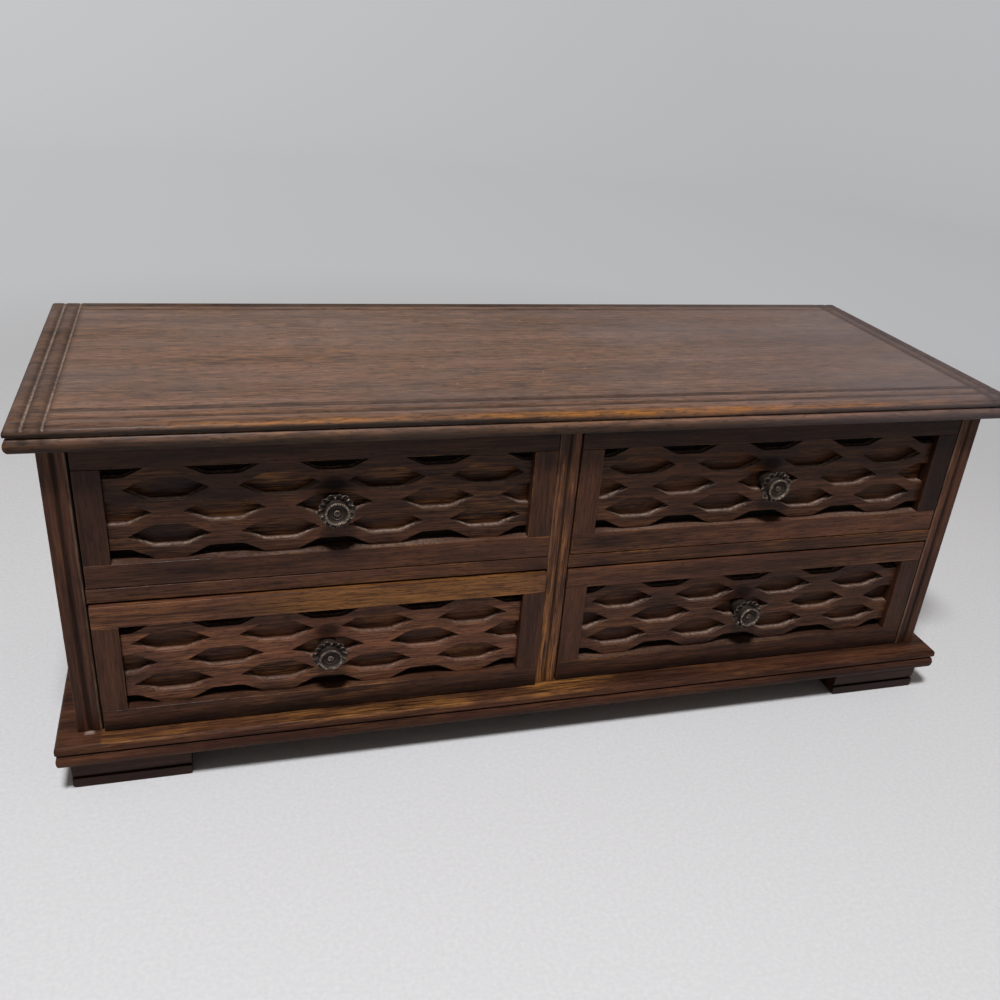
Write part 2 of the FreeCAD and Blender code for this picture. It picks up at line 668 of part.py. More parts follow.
def shaft_body(label, w, phase=0):
    """A body that turns about a line along u. The phase turns its teeth, in degrees."""
    rotation = SIDEWAYS * Rotation(Vector(0, 0, 1), phase)
    return new_body(label, "move_x", f"{PANEL_INSIDE} - shaft_height", f"{MOVE_Z} + {w}", rotation)


def mount_places():
    """Where the movement's screws go through the back panel, as (x, z)."""
    left = "(move_x - plate_left + mount_margin)"
    right = "(move_x + plate_right - mount_margin)"
    low = f"({MOVE_Z} - plate_down + mount_margin)"
    high = f"({MOVE_Z} + plate_high - mount_margin)"
    return [(left, low), (left, high), (right, low)]


def comb_screw_places():
    """Where the comb's screws go into the ledge, as (u, w)."""
    middle = "((ledge_low + ledge_high) / 2)"
    last = "(comb_left + comb_teeth * comb_pitch - comb_screw_place)"
    return [("(comb_left + comb_screw_place)", middle), (last, middle)]


def raised(body, name, corners, low, high):
    return pad(body, outline(body, "XY_Plane", name, corners, low), f"{high} - {low}")


def toothed(body, name, teeth, module_name, start, thick):
    """A wheel on the body's Z axis with its first tooth on the X axis."""
    pitch_radius = f"({module_name} * {teeth} / 2)"
    root = f"({pitch_radius} - dedendum * {module_name})"
    tip = f"({pitch_radius} + addendum * {module_name})"
    inner = f"({root} - {module_name} / 2)"
    half = {key: f"({key} * {module_name})" for key in ("tooth_root", "tooth_middle", "tooth_tip")}
    disc = circles(body, "XY_Plane", name + "_disc", [("0", "0")], root, start)
    pad(body, disc, thick)
    tooth = outline(body, "XY_Plane", name + "_tooth", [
        (inner, f"-{half['tooth_root']}"),
        (root, f"-{half['tooth_root']}"),
        (pitch_radius, f"-{half['tooth_middle']}"),
        (tip, f"-{half['tooth_tip']}"),
        (tip, half["tooth_tip"]),
        (pitch_radius, half["tooth_middle"]),
        (root, half["tooth_root"]),
        (inner, half["tooth_root"]),
    ], start)
    around(body, pad(body, tooth, thick), teeth)


def bedplate():
    """A cast plate with two bearing cheeks, a ledge for the comb and a post for the lever."""
    body = movement_body("bedplate")
    plate = oblong("-plate_left", "-plate_down", "plate_right", "plate_high")
    pad(body, outline(body, "XY_Plane", "plate", plate), "plate_thick")
    comb_width = "(comb_teeth * comb_pitch)"
    right_cheek = oblong("cheek_right", "cheek_low", "cheek_right + cheek_thick", "cheek_half")
    left_cheek = oblong("cheek_left", "-cheek_half", "cheek_left + cheek_thick", "cheek_half")
    ledge = oblong("comb_left - ledge_margin", "ledge_low",
                   f"comb_left + {comb_width} + ledge_margin", "ledge_high")
    post = oblong("post_left", "post_low", "post_right", "post_high")
    raised(body, "left_cheek", left_cheek, "plate_thick", "cheek_top")
    raised(body, "right_cheek", right_cheek, "plate_thick", "cheek_top")
    raised(body, "ledge", ledge, "plate_thick", "(shaft_height - comb_thick / 2)")
    raised(body, "post", post, "plate_thick", "post_top")

    arbor = circles(body, "XY_Plane", "arbor", [("spring_u", "0")], "arbor_radius + running_gap",
                    "plate_thick")
    pocket(body, arbor, "plate_thick")
    mounts = [(f"({x} - move_x)", f"({z} - {MOVE_Z})") for x, z in mount_places()]
    pocket(body, circles(body, "XY_Plane", "mounts", mounts, "screw_radius", "plate_thick"),
           "plate_thick")
    comb_bores = circles(body, "XY_Plane", "comb_bores", comb_screw_places(), "comb_screw_radius",
                         "(shaft_height - comb_thick / 2)")
    pocket(body, comb_bores, "comb_screw_length - comb_thick")
    across = "(cheek_right - cheek_left + 2 * cheek_thick)"
    shaft = circles(body, "YZ_Plane", "shaft", [("0", "shaft_height")],
                    "shaft_radius + running_gap", "cheek_right + cheek_thick")
    pocket(body, shaft, across)
    slim = circles(body, "YZ_Plane", "slim", [("governor_w", "shaft_height")],
                   "arbor_slim + running_gap", "cheek_right + cheek_thick")
    pocket(body, slim, "cheek_thick")
    lever = circles(body, "XZ_Plane", "lever", [("lever_u", "lever_h")],
                    "lever_pin + running_gap", "-post_low")
    pocket(body, lever, "post_high - post_low")
    return body


def spring_barrel():
    """The fixed cap over the mainspring."""
    body = movement_body("spring_barrel", "spring_u")
    inner = "(housing_radius - housing_wall)"
    bore = "(arbor_radius + running_gap)"
    ceiling = "(housing_top - housing_wall)"
    revolved(body, [
        (inner, "plate_thick"),
        ("housing_radius", "plate_thick"),
        ("housing_radius", "housing_top"),
        (bore, "housing_top"),
        (bore, ceiling),
        (inner, ceiling),
    ])
    return body


def mainspring():
    """A flat spiral strip. Each half turn is half a ring whose centre moves from side to side."""
    half_thick = number("coil_thick / 2")
    step = number("coil_pitch / 2")
    inner_edges, outer_edges = [], []
    for i in range(int(number("2 * coil_turns"))):
        middle = number("coil_start") + step * (i + 0.5)
        shift = step / 2 if i % 2 else -step / 2
        way = -1 if i % 2 else 1
        for edges, radius in ((inner_edges, middle - half_thick), (outer_edges, middle + half_thick)):
            start = Vector(shift + way * radius, 0, 0)
            top = Vector(shift, way * radius, 0)
            edges.append(Part.Arc(start, top, Vector(shift - way * radius, 0, 0)).toShape())
    start_cap = Part.LineSegment(outer_edges[0].Vertexes[0].Point, inner_edges[0].Vertexes[0].Point)
    end_cap = Part.LineSegment(outer_edges[-1].Vertexes[-1].Point, inner_edges[-1].Vertexes[-1].Point)
    edges = Part.sortEdges([*outer_edges, *inner_edges, start_cap.toShape(), end_cap.toShape()])[0]
    strip = Part.Face(Part.Wire(edges))
    spring = doc.addObject("Part::Feature", "mainspring")
    spring.Shape = strip.extrude(Vector(0, 0, number("coil_width")))
    place = Vector(number("move_x + spring_u"), number(f"{PANEL_INSIDE} - coil_low"), number(MOVE_Z))
    spring.Placement = Placement(place, FRONTWAYS)
    return spring


def spring_arbor():
    """The winding arbor, from the key outside to the collar over the great wheel."""
    body = movement_body("spring_arbor", "spring_u")
    outside = "(back_thick + arbor_out)"
    revolved(body, [
        ("0", f"-{outside}"),
        ("arbor_radius", f"-{outside}"),
        ("arbor_radius", "core_low"),
        ("arbor_core", "core_low"),
        ("arbor_core", "core_high"),
        ("arbor_radius", "core_high"),
        ("arbor_radius", "collar_low"),
        ("collar_radius", "collar_low"),
        ("collar_radius", "collar_high"),
        ("0", "collar_high"),
    ])
    return body


def great_wheel():
    """A crown wheel: its teeth stand on its front face, under the drum's pinion."""
    body = movement_body("great_wheel", "spring_u")
    thick = "(crown_face - crown_low)"
    middle = [("0", "0")]
    pad(body, circles(body, "XY_Plane", "disc", middle, "crown_outer", "crown_low"), thick)
    bore = circles(body, "XY_Plane", "bore", middle, "arbor_radius + running_gap", "crown_face")
    pocket(body, bore, thick)
    crossing = circles(body, "XY_Plane", "crossing", [("crossing_place", "0")], "crossing_radius",
                       "crown_face")
    around(body, pocket(body, crossing, thick), "crossing_count")
    pitch_line = "(shaft_height - drum_module * drum_pinion_teeth / 2)"
    tip = f"({pitch_line} + drum_module * addendum * crown_tip)"
    half = {key: f"({key} * drum_module)" for key in ("tooth_root", "tooth_middle", "tooth_tip")}
    tooth = outline(body, "YZ_Plane", "tooth", [
        (f"-{half['tooth_root']}", "crown_face"),
        (half["tooth_root"], "crown_face"),
        (half["tooth_middle"], pitch_line),
        (half["tooth_tip"], tip),
        (f"-{half['tooth_tip']}", tip),
        (f"-{half['tooth_middle']}", pitch_line),
    ], "crown_inner")
    around(body, pad(body, tooth, "crown_outer - crown_inner"), "crown_teeth")
    return body


def winding_key():
    """A butterfly key: two pierced lobes on a hub."""
    body = new_body("winding_key", "move_x + spring_u", CASE_BACK, MOVE_Z, BACKWARDS)
    middle = [("0", "0")]
    lobe_z = "(key_reach - key_lobe)"
    lobes = [("-key_lobe_x", lobe_z), ("key_lobe_x", lobe_z)]
    hub_length = f"({lobe_z} - key_clear)"
    pad(body, circles(body, "XY_Plane", "hub", middle, "key_hub", "key_clear"), hub_length)
    pad(body, circles(body, "XZ_Plane", "lobes", lobes, "key_lobe"), "key_thick", midplane=True)
    holes = circles(body, "XZ_Plane", "holes", lobes, "key_lobe_hole", "key_thick / 2")
    pocket(body, holes, "key_thick")
    bore = circles(body, "XY_Plane", "bore", middle, "arbor_radius", "arbor_out")
    pocket(body, bore, "arbor_out - key_clear")
    return body


def cylinder():
    """The pinned drum on its shaft, with the pinion and the gear that drives the governor."""
    body = shaft_body("cylinder_train", "0")
    middle = [("0", "0")]
    shaft_length = "(shaft_left + shaft_right)"
    pad(body, circles(body, "XY_Plane", "shaft", middle, "shaft_radius", "-shaft_left"), shaft_length)
    drum = circles(body, "XY_Plane", "drum", middle, "drum_radius", "drum_left")
    pad(body, drum, "drum_right - drum_left")
    toothed(body, "pinion", "drum_pinion_teeth", "drum_module", "-pinion_left", "pinion_thick")
    toothed(body, "gear", "drum_gear_teeth", "drum_module", "gear_left", "gear_thick")

    pins = []
    for tooth in range(int(SIZES["comb_teeth"])):
        for k in range(SIZES["pins_per_tooth"]):
            angle = SIZES["pin_turn"] * (tooth * SIZES["pins_per_tooth"] + k)
            u = f"(comb_left + comb_pitch * ({tooth} + 0.5) - comb_slot / 2)"
            # a pin points up at first and is then turned about the shaft
            pin = rod(f"cylinder_pin_{tooth}_{k}", "pin_radius", "drum_radius + pin_length",
                      f"move_x + {u}", f"{PANEL_INSIDE} - shaft_height", MOVE_Z,
                      Rotation(Vector(1, 0, 0), angle))
            pins.append(pin)
    return fused("cylinder", [body, *pins])


def comb():
    """The steel comb, screwed to the ledge, with its tips just clear of the pins."""
    body = movement_body("comb")
    low = "(shaft_height - comb_thick / 2)"
    comb_width = "(comb_teeth * comb_pitch)"
    back = oblong("comb_left", "comb_root", f"comb_left + {comb_width}", "ledge_high")
    tooth = oblong("comb_left", "comb_tip", "comb_left + comb_pitch - comb_slot", "comb_root")
    raised(body, "back", back, low, f"({low} + comb_thick)")
    first = raised(body, "tooth", tooth, low, f"({low} + comb_tooth_thick)")
    in_rows(body, first, "comb_teeth", f"{comb_width} - comb_pitch")
    bores = circles(body, "XY_Plane", "bores", comb_screw_places(), "comb_screw_radius",
                    f"({low} + comb_thick)")
    pocket(body, bores, "comb_thick")
    return body


def governor_wheel():
    """A pinion and a worm wheel on one arbor."""
    body = shaft_body("governor_wheel", "governor_w", 180 / SIZES["governor_pinion_teeth"])
    arbor = circles(body, "XY_Plane", "arbor", [("0", "0")], "arbor_slim", "governor_left")
    pad(body, arbor, "governor_right - governor_left")
    toothed(body, "pinion", "governor_pinion_teeth", "drum_module",
            "governor_pinion_left", "governor_pinion_thick")
    toothed(body, "wheel", "governor_teeth", "worm_module", "governor_u", "governor_thick")
    return body


WORM_W = "(governor_w + worm_module * governor_teeth / 2 + (worm_radius + worm_root) / 2 + worm_gap)"


def fly():
    """A two-start worm with the two-bladed air brake on its front end."""

    def turned_body(label, angle):
        rotation = FRONTWAYS * Rotation(Vector(0, 0, 1), SIZES["fly_phase"] + angle)
        return new_body(label, "move_x + worm_u", PANEL_INSIDE, f"{MOVE_Z} + {WORM_W}", rotation)

    body = turned_body("fly_spindle", 0)
    middle = [("0", "0")]
    pivots = circles(body, "XY_Plane", "pivots", middle, "pivot_radius", "pivot_low")
    pad(body, pivots, "pivot_high - pivot_low")
    core = circles(body, "XY_Plane", "core", middle, "worm_root", "worm_low")
    pad(body, core, "worm_length")
    hub = circles(body, "XY_Plane", "hub", middle, "fly_hub", "fly_low")
    pad(body, hub, "fly_height")
    blades = oblong("-fly_radius", "-fly_half", "fly_radius", "fly_half")
    pad(body, outline(body, "XY_Plane", "blades", blades, "fly_low"), "fly_height")

    start = "(worm_low + thread_root)"
    foot = "(worm_root - pivot_radius / 2)"
    threads = []
    for i in range(SIZES["worm_starts"]):
        thread_body = turned_body(f"worm_thread_{i}", 360 / SIZES["worm_starts"] * i)
        section = outline(thread_body, "XZ_Plane", "section", [
            (foot, f"{start} - thread_root"),
            ("worm_radius", f"{start} - thread_crest"),
            ("worm_radius", f"{start} + thread_crest"),
            (foot, f"{start} + thread_root"),
        ])
        thread = thread_body.newObject("PartDesign::AdditiveHelix", section.Name + "_helix")
        thread.Profile = section
        thread.ReferenceAxis = (section, ["V_Axis"])
        thread.Mode = 0
        bind(thread, Pitch="pi * worm_module * worm_starts", Height="worm_length - 2 * thread_root")
        threads.append(thread_body)
    return fused("fly", [body, *threads])


def governor_frame():
    """A bracket with an arm below and above the worm, and the outer bearing of the arbor."""
    body = movement_body("governor_frame")
    foot = oblong("foot_left", "frame_low", "frame_right", "frame_high")
    post = oblong("arm_left", "arm_post", "arm_right", "arm_post_end")
    arm = oblong("arm_left", "arm_end", "arm_right", "arm_post_end")
    upright = oblong("upright_left", "upright_low", "frame_right", "upright_high")
    raised(body, "foot", foot, "plate_thick", "(plate_thick + frame_foot)")
    raised(body, "post", post, "plate_thick", "(upper_arm + arm_thick)")
    raised(body, "lower", arm, "lower_arm", "(lower_arm + arm_thick)")
    raised(body, "upper", arm, "upper_arm", "(upper_arm + arm_thick)")
    raised(body, "upright", upright, "plate_thick", "upright_top")
    pivots = circles(body, "XY_Plane", "pivots", [("worm_u", WORM_W)],
                     "pivot_radius + running_gap", "(upper_arm + arm_thick)")
    pocket(body, pivots, "upper_arm + arm_thick - lower_arm")
    arbor = circles(body, "YZ_Plane", "arbor", [("governor_w", "shaft_height")],
                    "arbor_slim + running_gap", "frame_right")
    pocket(body, arbor, "frame_right - upright_left")
    return body


def stop_lever():
    """A flat lever on its pin. The finger meets the drawer's back; the short arm guards the fly."""
    body = movement_body("stop_lever")
    finger_left, finger_right = "(lever_u - lever_reach)", "(lever_u - lever_reach + lever_finger)"
    finger_top = "(lever_tip - lever_crown)"
    low, high = "(lever_h - lever_half)", "(lever_h + lever_half)"
    corners = [
        (finger_left, low),
        ("lever_u + lever_short", low),
        ("lever_u + lever_short", high),
        (finger_right, high),
        (finger_right, finger_top, arc_over("lever_finger", "lever_crown")),
        (finger_left, finger_top),
    ]
    plate = outline(body, "XZ_Plane", "plate", corners, "-lever_w")
    pad(body, plate, "lever_thick", reverse=True)
    pin = circles(body, "XZ_Plane", "pin", [("lever_u", "lever_h")], "lever_pin", "-post_low")
    pad(body, pin, "lever_w + lever_thick - post_low", reverse=True)
    return body


def movement_screws():
    """Three screws that hold the bedplate from behind and two that hold the comb."""
    pieces = []
    for i, (x, z) in enumerate(mount_places()):
        label = f"mount_screw_{i}"
        length = "(back_thick + plate_thick)"
        head = rod(label + "_head", "screw_head", "screw_head_thick", x, CASE_BACK, z, BACKWARDS)
        shank = rod(label + "_shank", "screw_radius", length, x, f"{CASE_BACK} - {length}", z, BACKWARDS)
        slot = screw_slot(label, "screw_head", x, f"{CASE_BACK} + screw_head_thick - slot_depth", z)
        pieces.append(cut(label, fused(label + "_blank", [head, shank]), slot))
    for i, (u, w) in enumerate(comb_screw_places()):
        label = f"comb_screw_{i}"
        x, z = f"move_x + {u}", f"{MOVE_Z} + {w}"
        comb_front = f"({PANEL_INSIDE} - shaft_height - comb_thick / 2)"
        head = rod(label + "_head", "comb_screw_head", "comb_screw_head_thick",
                   x, comb_front, z, FRONTWAYS)
        shank = rod(label + "_shank", "comb_screw_radius", "comb_screw_length",
                    x, f"{comb_front} + comb_screw_length", z, FRONTWAYS)
        slot = screw_slot(label, "comb_screw_head", x, f"{comb_front} - comb_screw_head_thick", z)
        pieces.append(cut(label, fused(label + "_blank", [head, shank]), slot))
    return group("movement_screws", pieces)


def build():
    pieces = [top_board(), base_board(), feet(), *stiles(), *case(), *drawers()]
    pieces += [bedplate(), spring_barrel(), mainspring(), spring_arbor(), great_wheel(), winding_key()]
    pieces += [cylinder(), comb(), governor_wheel(), fly(), governor_frame(), stop_lever()]
    pieces.append(movement_screws())
    return pieces


def write_parts(pieces):
    """Check every object and shape, then write one file for each piece."""
    doc.recompute()
    for thing in doc.Objects:
        if "Invalid" in thing.State or "Error" in thing.State:
            raise RuntimeError(f"{thing.Name}: {thing.State}")
    for piece in pieces:
        if piece.Shape.isNull() or not piece.Shape.isValid():
            raise RuntimeError(f"{piece.Label} has no valid shape")
    os.makedirs("parts", exist_ok=True)
    for piece in pieces:
        piece.Shape.exportStep(f"parts/{piece.Label}.step")
    print(len(pieces), "parts written")


write_parts(build())
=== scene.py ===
import json
import math
import random
import bmesh
import bpy
from mathutils import Matrix, Vector, noise


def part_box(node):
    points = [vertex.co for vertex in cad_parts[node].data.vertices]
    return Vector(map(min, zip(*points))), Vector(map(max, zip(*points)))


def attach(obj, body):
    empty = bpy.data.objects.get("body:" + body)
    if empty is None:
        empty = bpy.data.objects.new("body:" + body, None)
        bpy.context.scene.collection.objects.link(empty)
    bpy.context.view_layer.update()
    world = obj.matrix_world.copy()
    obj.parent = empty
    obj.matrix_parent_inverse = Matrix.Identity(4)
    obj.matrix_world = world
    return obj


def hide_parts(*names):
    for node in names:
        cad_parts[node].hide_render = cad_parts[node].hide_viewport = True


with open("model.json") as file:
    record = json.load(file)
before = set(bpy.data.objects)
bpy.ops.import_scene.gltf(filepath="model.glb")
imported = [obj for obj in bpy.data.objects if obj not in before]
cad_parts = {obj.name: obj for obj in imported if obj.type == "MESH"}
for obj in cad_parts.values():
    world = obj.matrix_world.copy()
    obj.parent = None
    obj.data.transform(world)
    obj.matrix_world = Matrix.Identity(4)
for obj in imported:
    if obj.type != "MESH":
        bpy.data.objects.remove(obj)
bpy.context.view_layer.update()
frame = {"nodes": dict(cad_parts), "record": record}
nodes = frame["nodes"]
record = frame["record"]
slotOf = {row["node"]: row["material_slot"] for row in record["subparts"]}
bodyOf = {node: body for body, names in record["behaviour"]["bodies"].items() for node in names}
mm = 0.001
random.seed(12)
print("frame loaded:", len(nodes), "nodes")


def linear(colour):  # sRGB hex to the linear values that a shader reads
    parts = [int(colour[i:i + 2], 16) / 255 for i in (0, 2, 4)]
    return [c / 12.92 if c <= 0.04045 else ((c + 0.055) / 1.055) ** 2.4 for c in parts] + [1]


def addNode(tree, kind, values=None, stops=None, **settings):
    # values go to the inputs: another node, which gives its first output, a socket, or a plain value
    made = tree.nodes.new("ShaderNode" + kind)
    for key, value in settings.items():
        setattr(made, key, value)
    for key, value in (values or {}).items():
        if isinstance(value, bpy.types.Node):
            tree.links.new(value.outputs[0], made.inputs[key])
        elif isinstance(value, bpy.types.NodeSocket):
            tree.links.new(value, made.inputs[key])
        else:
            made.inputs[key].default_value = value
    if stops:  # a ramp's places and values, grey or coloured
        ramp = made.color_ramp.elements
        while len(ramp) < len(stops):
            ramp.new(1)
        for element, (place, value) in zip(ramp, stops):
            element.position = place
            element.color = value if isinstance(value, list) else [value, value, value, 1]
    return made


def newMaterial(name):  # with the function that adds nodes to it
    material = bpy.data.materials.new(name)
    material.use_nodes = True
    material.node_tree.nodes.clear()
    return material, lambda kind, values=None, stops=None, **settings: addNode(
        material.node_tree, kind, values, stops, **settings)


def combined(add, how, *masks):  # masks multiplied, added or subtracted, or the highest or lowest of them
    result = masks[0]
    for mask in masks[1:]:
        result = add("Math", {0: result, 1: mask}, operation=how)
    return result


def mapped(add, value, start, end, low=0.0, high=1.0, **settings):
    # low where the value is at start or short of it, high at end or past it, and in proportion between
    return add("MapRange", {"Value": value, "From Min": start, "From Max": end, "To Min": low,
                            "To Max": high}, **settings)


def blended(add, share, first, second, **settings):  # two colours: the first at 0, the second at 1
    return add("MixRGB", {"Fac": share, "Color1": first, "Color2": second}, **settings)


def middleOf(node):
    low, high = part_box(node)
    return (Vector(low) + Vector(high)) / 2


def deselect():
    bpy.ops.object.select_all(action="DESELECT")


def pick(piece):
    deselect()
    piece.select_set(True)
    bpy.context.view_layer.objects.active = piece


def applyModifiers(piece):
    pick(piece)
    for modifier in list(piece.modifiers):
        bpy.ops.object.modifier_apply(modifier=modifier.name)


# Camera: it stands left of the middle and looks down across the top, as the photograph does
view = {
    "place": (-126.68, -387.69, 276.12),  # mm
    "azimuth": 18.47, "elevation": 27.56, "roll": 5.18,  # degrees
    "sensor": 36, "lens": 36.19, "shiftX": -0.0164, "shiftY": 0.0275,
}


def makeCamera():
    azimuth, elevation, roll = (math.radians(view[k]) for k in ("azimuth", "elevation", "roll"))
    ahead = Vector((math.sin(azimuth) * math.cos(elevation),
                    math.cos(azimuth) * math.cos(elevation), -math.sin(elevation)))
    level = Vector((math.cos(azimuth), -math.sin(azimuth), 0))
    over = level.cross(ahead)
    right = level * math.cos(roll) + over * math.sin(roll)
    up = over * math.cos(roll) - level * math.sin(roll)
    data = bpy.data.cameras.new("photoCamera")
    data.sensor_width = view["sensor"]
    data.lens = view["lens"]
    data.shift_x = view["shiftX"]
    data.shift_y = view["shiftY"]
    data.clip_start = 0.01
    camera = bpy.data.objects.new("photoCamera", data)
    bpy.context.scene.collection.objects.link(camera)
    place = Matrix.Translation(Vector(view["place"]) * mm)
    camera.matrix_world = place @ Matrix((right, up, -ahead)).transposed().to_4x4()
    bpy.context.scene.camera = camera


makeCamera()

# Studio: a pale paper bowl all round, a round lamp high in front and a little to the left, and a weak sky
studio = {
    "radius": 1.6, "wall": 1.2, "bend": 0.7, "bendSteps": 10,  # metres, but for the steps
    "paper": ("d0d0d1", "d9d9d9"), "fadeFrom": 0.32, "fadeTo": 0.76,  # where it fades, metres
    "farColour": "fcfdff", "farGrey": 0.53,  # the far paper, and how its grey changes to each side and up
    "farLeft": 1.06, "farRight": 0.86, "sideways": 1.0, "farUp": 1.09, "riseFrom": 1.5, "riseTo": 2.2,
    "lampPower": 15.15, "lampSize": 0.2, "lampPlace": (-0.2, -0.52, 1.16), "lampColour": "fbfbfe",
    "sky": 0.215, "skyColour": "fff5ea",
}


def makeStudio():
    bpy.context.scene.view_settings.view_transform = "Standard"
    deselect()
    bpy.ops.mesh.primitive_circle_add(vertices=96, radius=studio["radius"], fill_type="NGON")
    floor = bpy.context.object
    floor.name = "paperFloor"
    bpy.ops.object.mode_set(mode="EDIT")
    bpy.ops.mesh.select_all(action="SELECT")
    steps = studio["bendSteps"]
    reach = studio["radius"]
    for i in range(steps):  # the rim bends up into the wall
        turn = math.pi / 2 * (i + 0.5) / steps
        run = studio["bend"] * math.pi / 2 / steps
        grow = 1 + math.cos(turn) * run / reach
        reach *= grow
        bpy.ops.mesh.extrude_region_move(TRANSFORM_OT_translate={"value": (0, 0, math.sin(turn) * run)})
        bpy.ops.transform.resize(value=(grow, grow, 1), center_override=(0, 0, 0))
    bpy.ops.mesh.extrude_region_move(TRANSFORM_OT_translate={"value": (0, 0, studio["wall"])})
    bpy.ops.mesh.delete(type="ONLY_FACE")  # the lid
    bpy.ops.object.mode_set(mode="OBJECT")
    bpy.ops.object.shade_smooth()

    paper, add = newMaterial("mattPaper")  # seamless paper: even, without shine, and it fades far off
    place = add("TexCoord").outputs["Object"]
    mottle = add("TexNoise", {"Vector": place, "Scale": 600, "Detail": 3})
    darker, lighter = (linear(c) for c in studio["paper"])
    colour = add("ValToRGB", {"Fac": mottle}, [(0.3, darker), (0.7, lighter)])
    near = add("BsdfPrincipled", {"Base Color": colour, "Roughness": 0.8, "Specular IOR Level": 0.2})
    across = add("SeparateXYZ", {0: place}).outputs[0]
    side = mapped(add, across, -studio["sideways"], studio["sideways"], studio["farLeft"],
                  studio["farRight"])
    distance = add("VectorMath", {0: place}, operation="LENGTH").outputs["Value"]
    rise = mapped(add, distance, studio["riseFrom"], studio["riseTo"], 1.0, studio["farUp"])
    level = combined(add, "MULTIPLY", side, rise, studio["farGrey"])
    glow = add("Emission", {"Color": linear(studio["farColour"]), "Strength": level})
    fade = mapped(add, distance, studio["fadeFrom"], studio["fadeTo"], interpolation_type="SMOOTHSTEP")
    rays = add("LightPath").outputs
    seen = combined(add, "MAXIMUM", rays["Is Camera Ray"], rays["Is Glossy Ray"],
                    rays["Is Transmission Ray"])
    mixed = add("MixShader", {0: combined(add, "MULTIPLY", fade, seen), 1: near, 2: glow})
    add("OutputMaterial", {"Surface": mixed})
    floor.data.materials.append(paper)

    lamp = bpy.data.lights.new("overheadPanel", "AREA")
    lamp.shape = "DISK"
    lamp.size = studio["lampSize"]
    lamp.energy = studio["lampPower"]
    lamp.color = linear(studio["lampColour"])[:3]
    holder = bpy.data.objects.new("overheadPanel", lamp)
    holder.location = studio["lampPlace"]
    holder.rotation_euler = (-holder.location).to_track_quat("-Z", "Y").to_euler()
    bpy.context.scene.collection.objects.link(holder)

    world = bpy.data.worlds.new("paleSky")
    bpy.context.scene.world = world
    world.use_nodes = True
    background = world.node_tree.nodes["Background"]
    background.inputs["Color"].default_value = linear(studio["skyColour"])
    background.inputs["Strength"].default_value = studio["sky"]


makeStudio()
print("camera and studio made")

# Woods: lauan-like hardwood, stained dark and lacquered. It gives fine dark pore dashes along the
# grain, redder and more golden streaks between them, and a satin sheen.
grain = {  # length along the grain and width across it, mm; the real 0.2 mm pores are drawn wider, to show
    "case": {"tone": (110, 7), "fibre": (15, 0.65), "pore": (4.5, 0.42), "blotch": (42, 15)},
    "top": {"tone": (150, 11), "fibre": (12, 1.3), "pore": (4.2, 0.8), "blotch": (62, 26)},
    "pale": {"tone": (260, 6), "fibre": (30, 0.6), "pore": (9, 0.35), "blotch": (70, 30)},
}
grainTurns = {"x": (0, 1, 2), "y": (1, 0, 2), "z": (2, 0, 1)}  # the axis along the grain comes first
stains = {  # shadow, body and light of the wood, the golden variant, and wood rubbed bare
    "case": ("27160f", "3a231a", "4c2f21", "6a4526", "9c6a34"),
    "top": ("533d32", "64493a", "725546", "7b5535", "9b6224"),
    "pale": ("a87d4c", "c39b68", "d6b384", "c08f52", "d9bb8e"),
}
wear = {  # what has settled on the wood, soaked into it or knocked a bit out of it; the grime also darkens painted shade, and the grey sheen is a painted reflection
    "grime": "0b0605", "dust": "aa9688", "bloom": "84776c", "haze": "6b6164", "bruise": "2e1d18",
    "chip": "bfb0a2",
}
reeds = {  # the top's valleys between reeds, and the crests of the reeds at its ends, from the middle, mm
    "end": (184.2, 178.0), "front": (65.15, 58.25), "back": (61.85, 55.85), "endCrests": (187.3, 181.1),
}
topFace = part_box("top_board")[1][2]
windowFoot, windowHead = (corner[2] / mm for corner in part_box("drawer_upper_left_lattice"))
windowHalf = (windowHead - windowFoot) / 2  # mm, as the next line's heights
windowMiddles = [middleOf(f"drawer_{row}_left_lattice").z / mm for row in ("upper", "lower")]
knobMiddles = [middleOf(node) for node in nodes if node.endswith("_knob")]
# painted shade and reflection above each knob: how far above its middle, its half width and half height, and
# how dark at most
knobShadePatch = {"above": 7.6, "halfWide": 6.5, "halfHigh": 4, "most": 0.72}  # mm, but for the last
stileLines = {"groove": 177.8, "gap": 173.35, "outerArris": 174.1, "innerArris": 4.2}  # from the middle, mm
marks = [  # bruises and scratches on the top: place, half length, half width, turn in degrees, strength
    (-101.3, 29.4, 4.5, 0.9, 0, 0.6), (-103.6, 14.3, 3.0, 1.1, 15, 0.5), (-90.8, -19.6, 0.8, 0.8, 0, 0.7),
    (-133.0, -39.8, 5.0, 0.4, 60, 0.5), (-127.2, -7.6, 9.0, 1.4, -6, 0.35), (62.0, 12.0, 6.0, 0.8, 8, 0.3),
    (118.0, -22.0, 4.0, 0.6, -20, 0.3),
]


# In what follows, places are measured from the middle of the box and heights from the floor
def apart(add, value, place):  # how far the value is from a place in mm
    return add("Math", {0: combined(add, "SUBTRACT", value, place * mm)}, operation="ABSOLUTE")


def band(add, value, centre, half, soft):  # 1 within half of the centre, 0 from soft further out; mm
    return mapped(add, apart(add, value, centre), half * mm, (half + soft) * mm, 1.0, 0.0,
                  interpolation_type="SMOOTHSTEP")


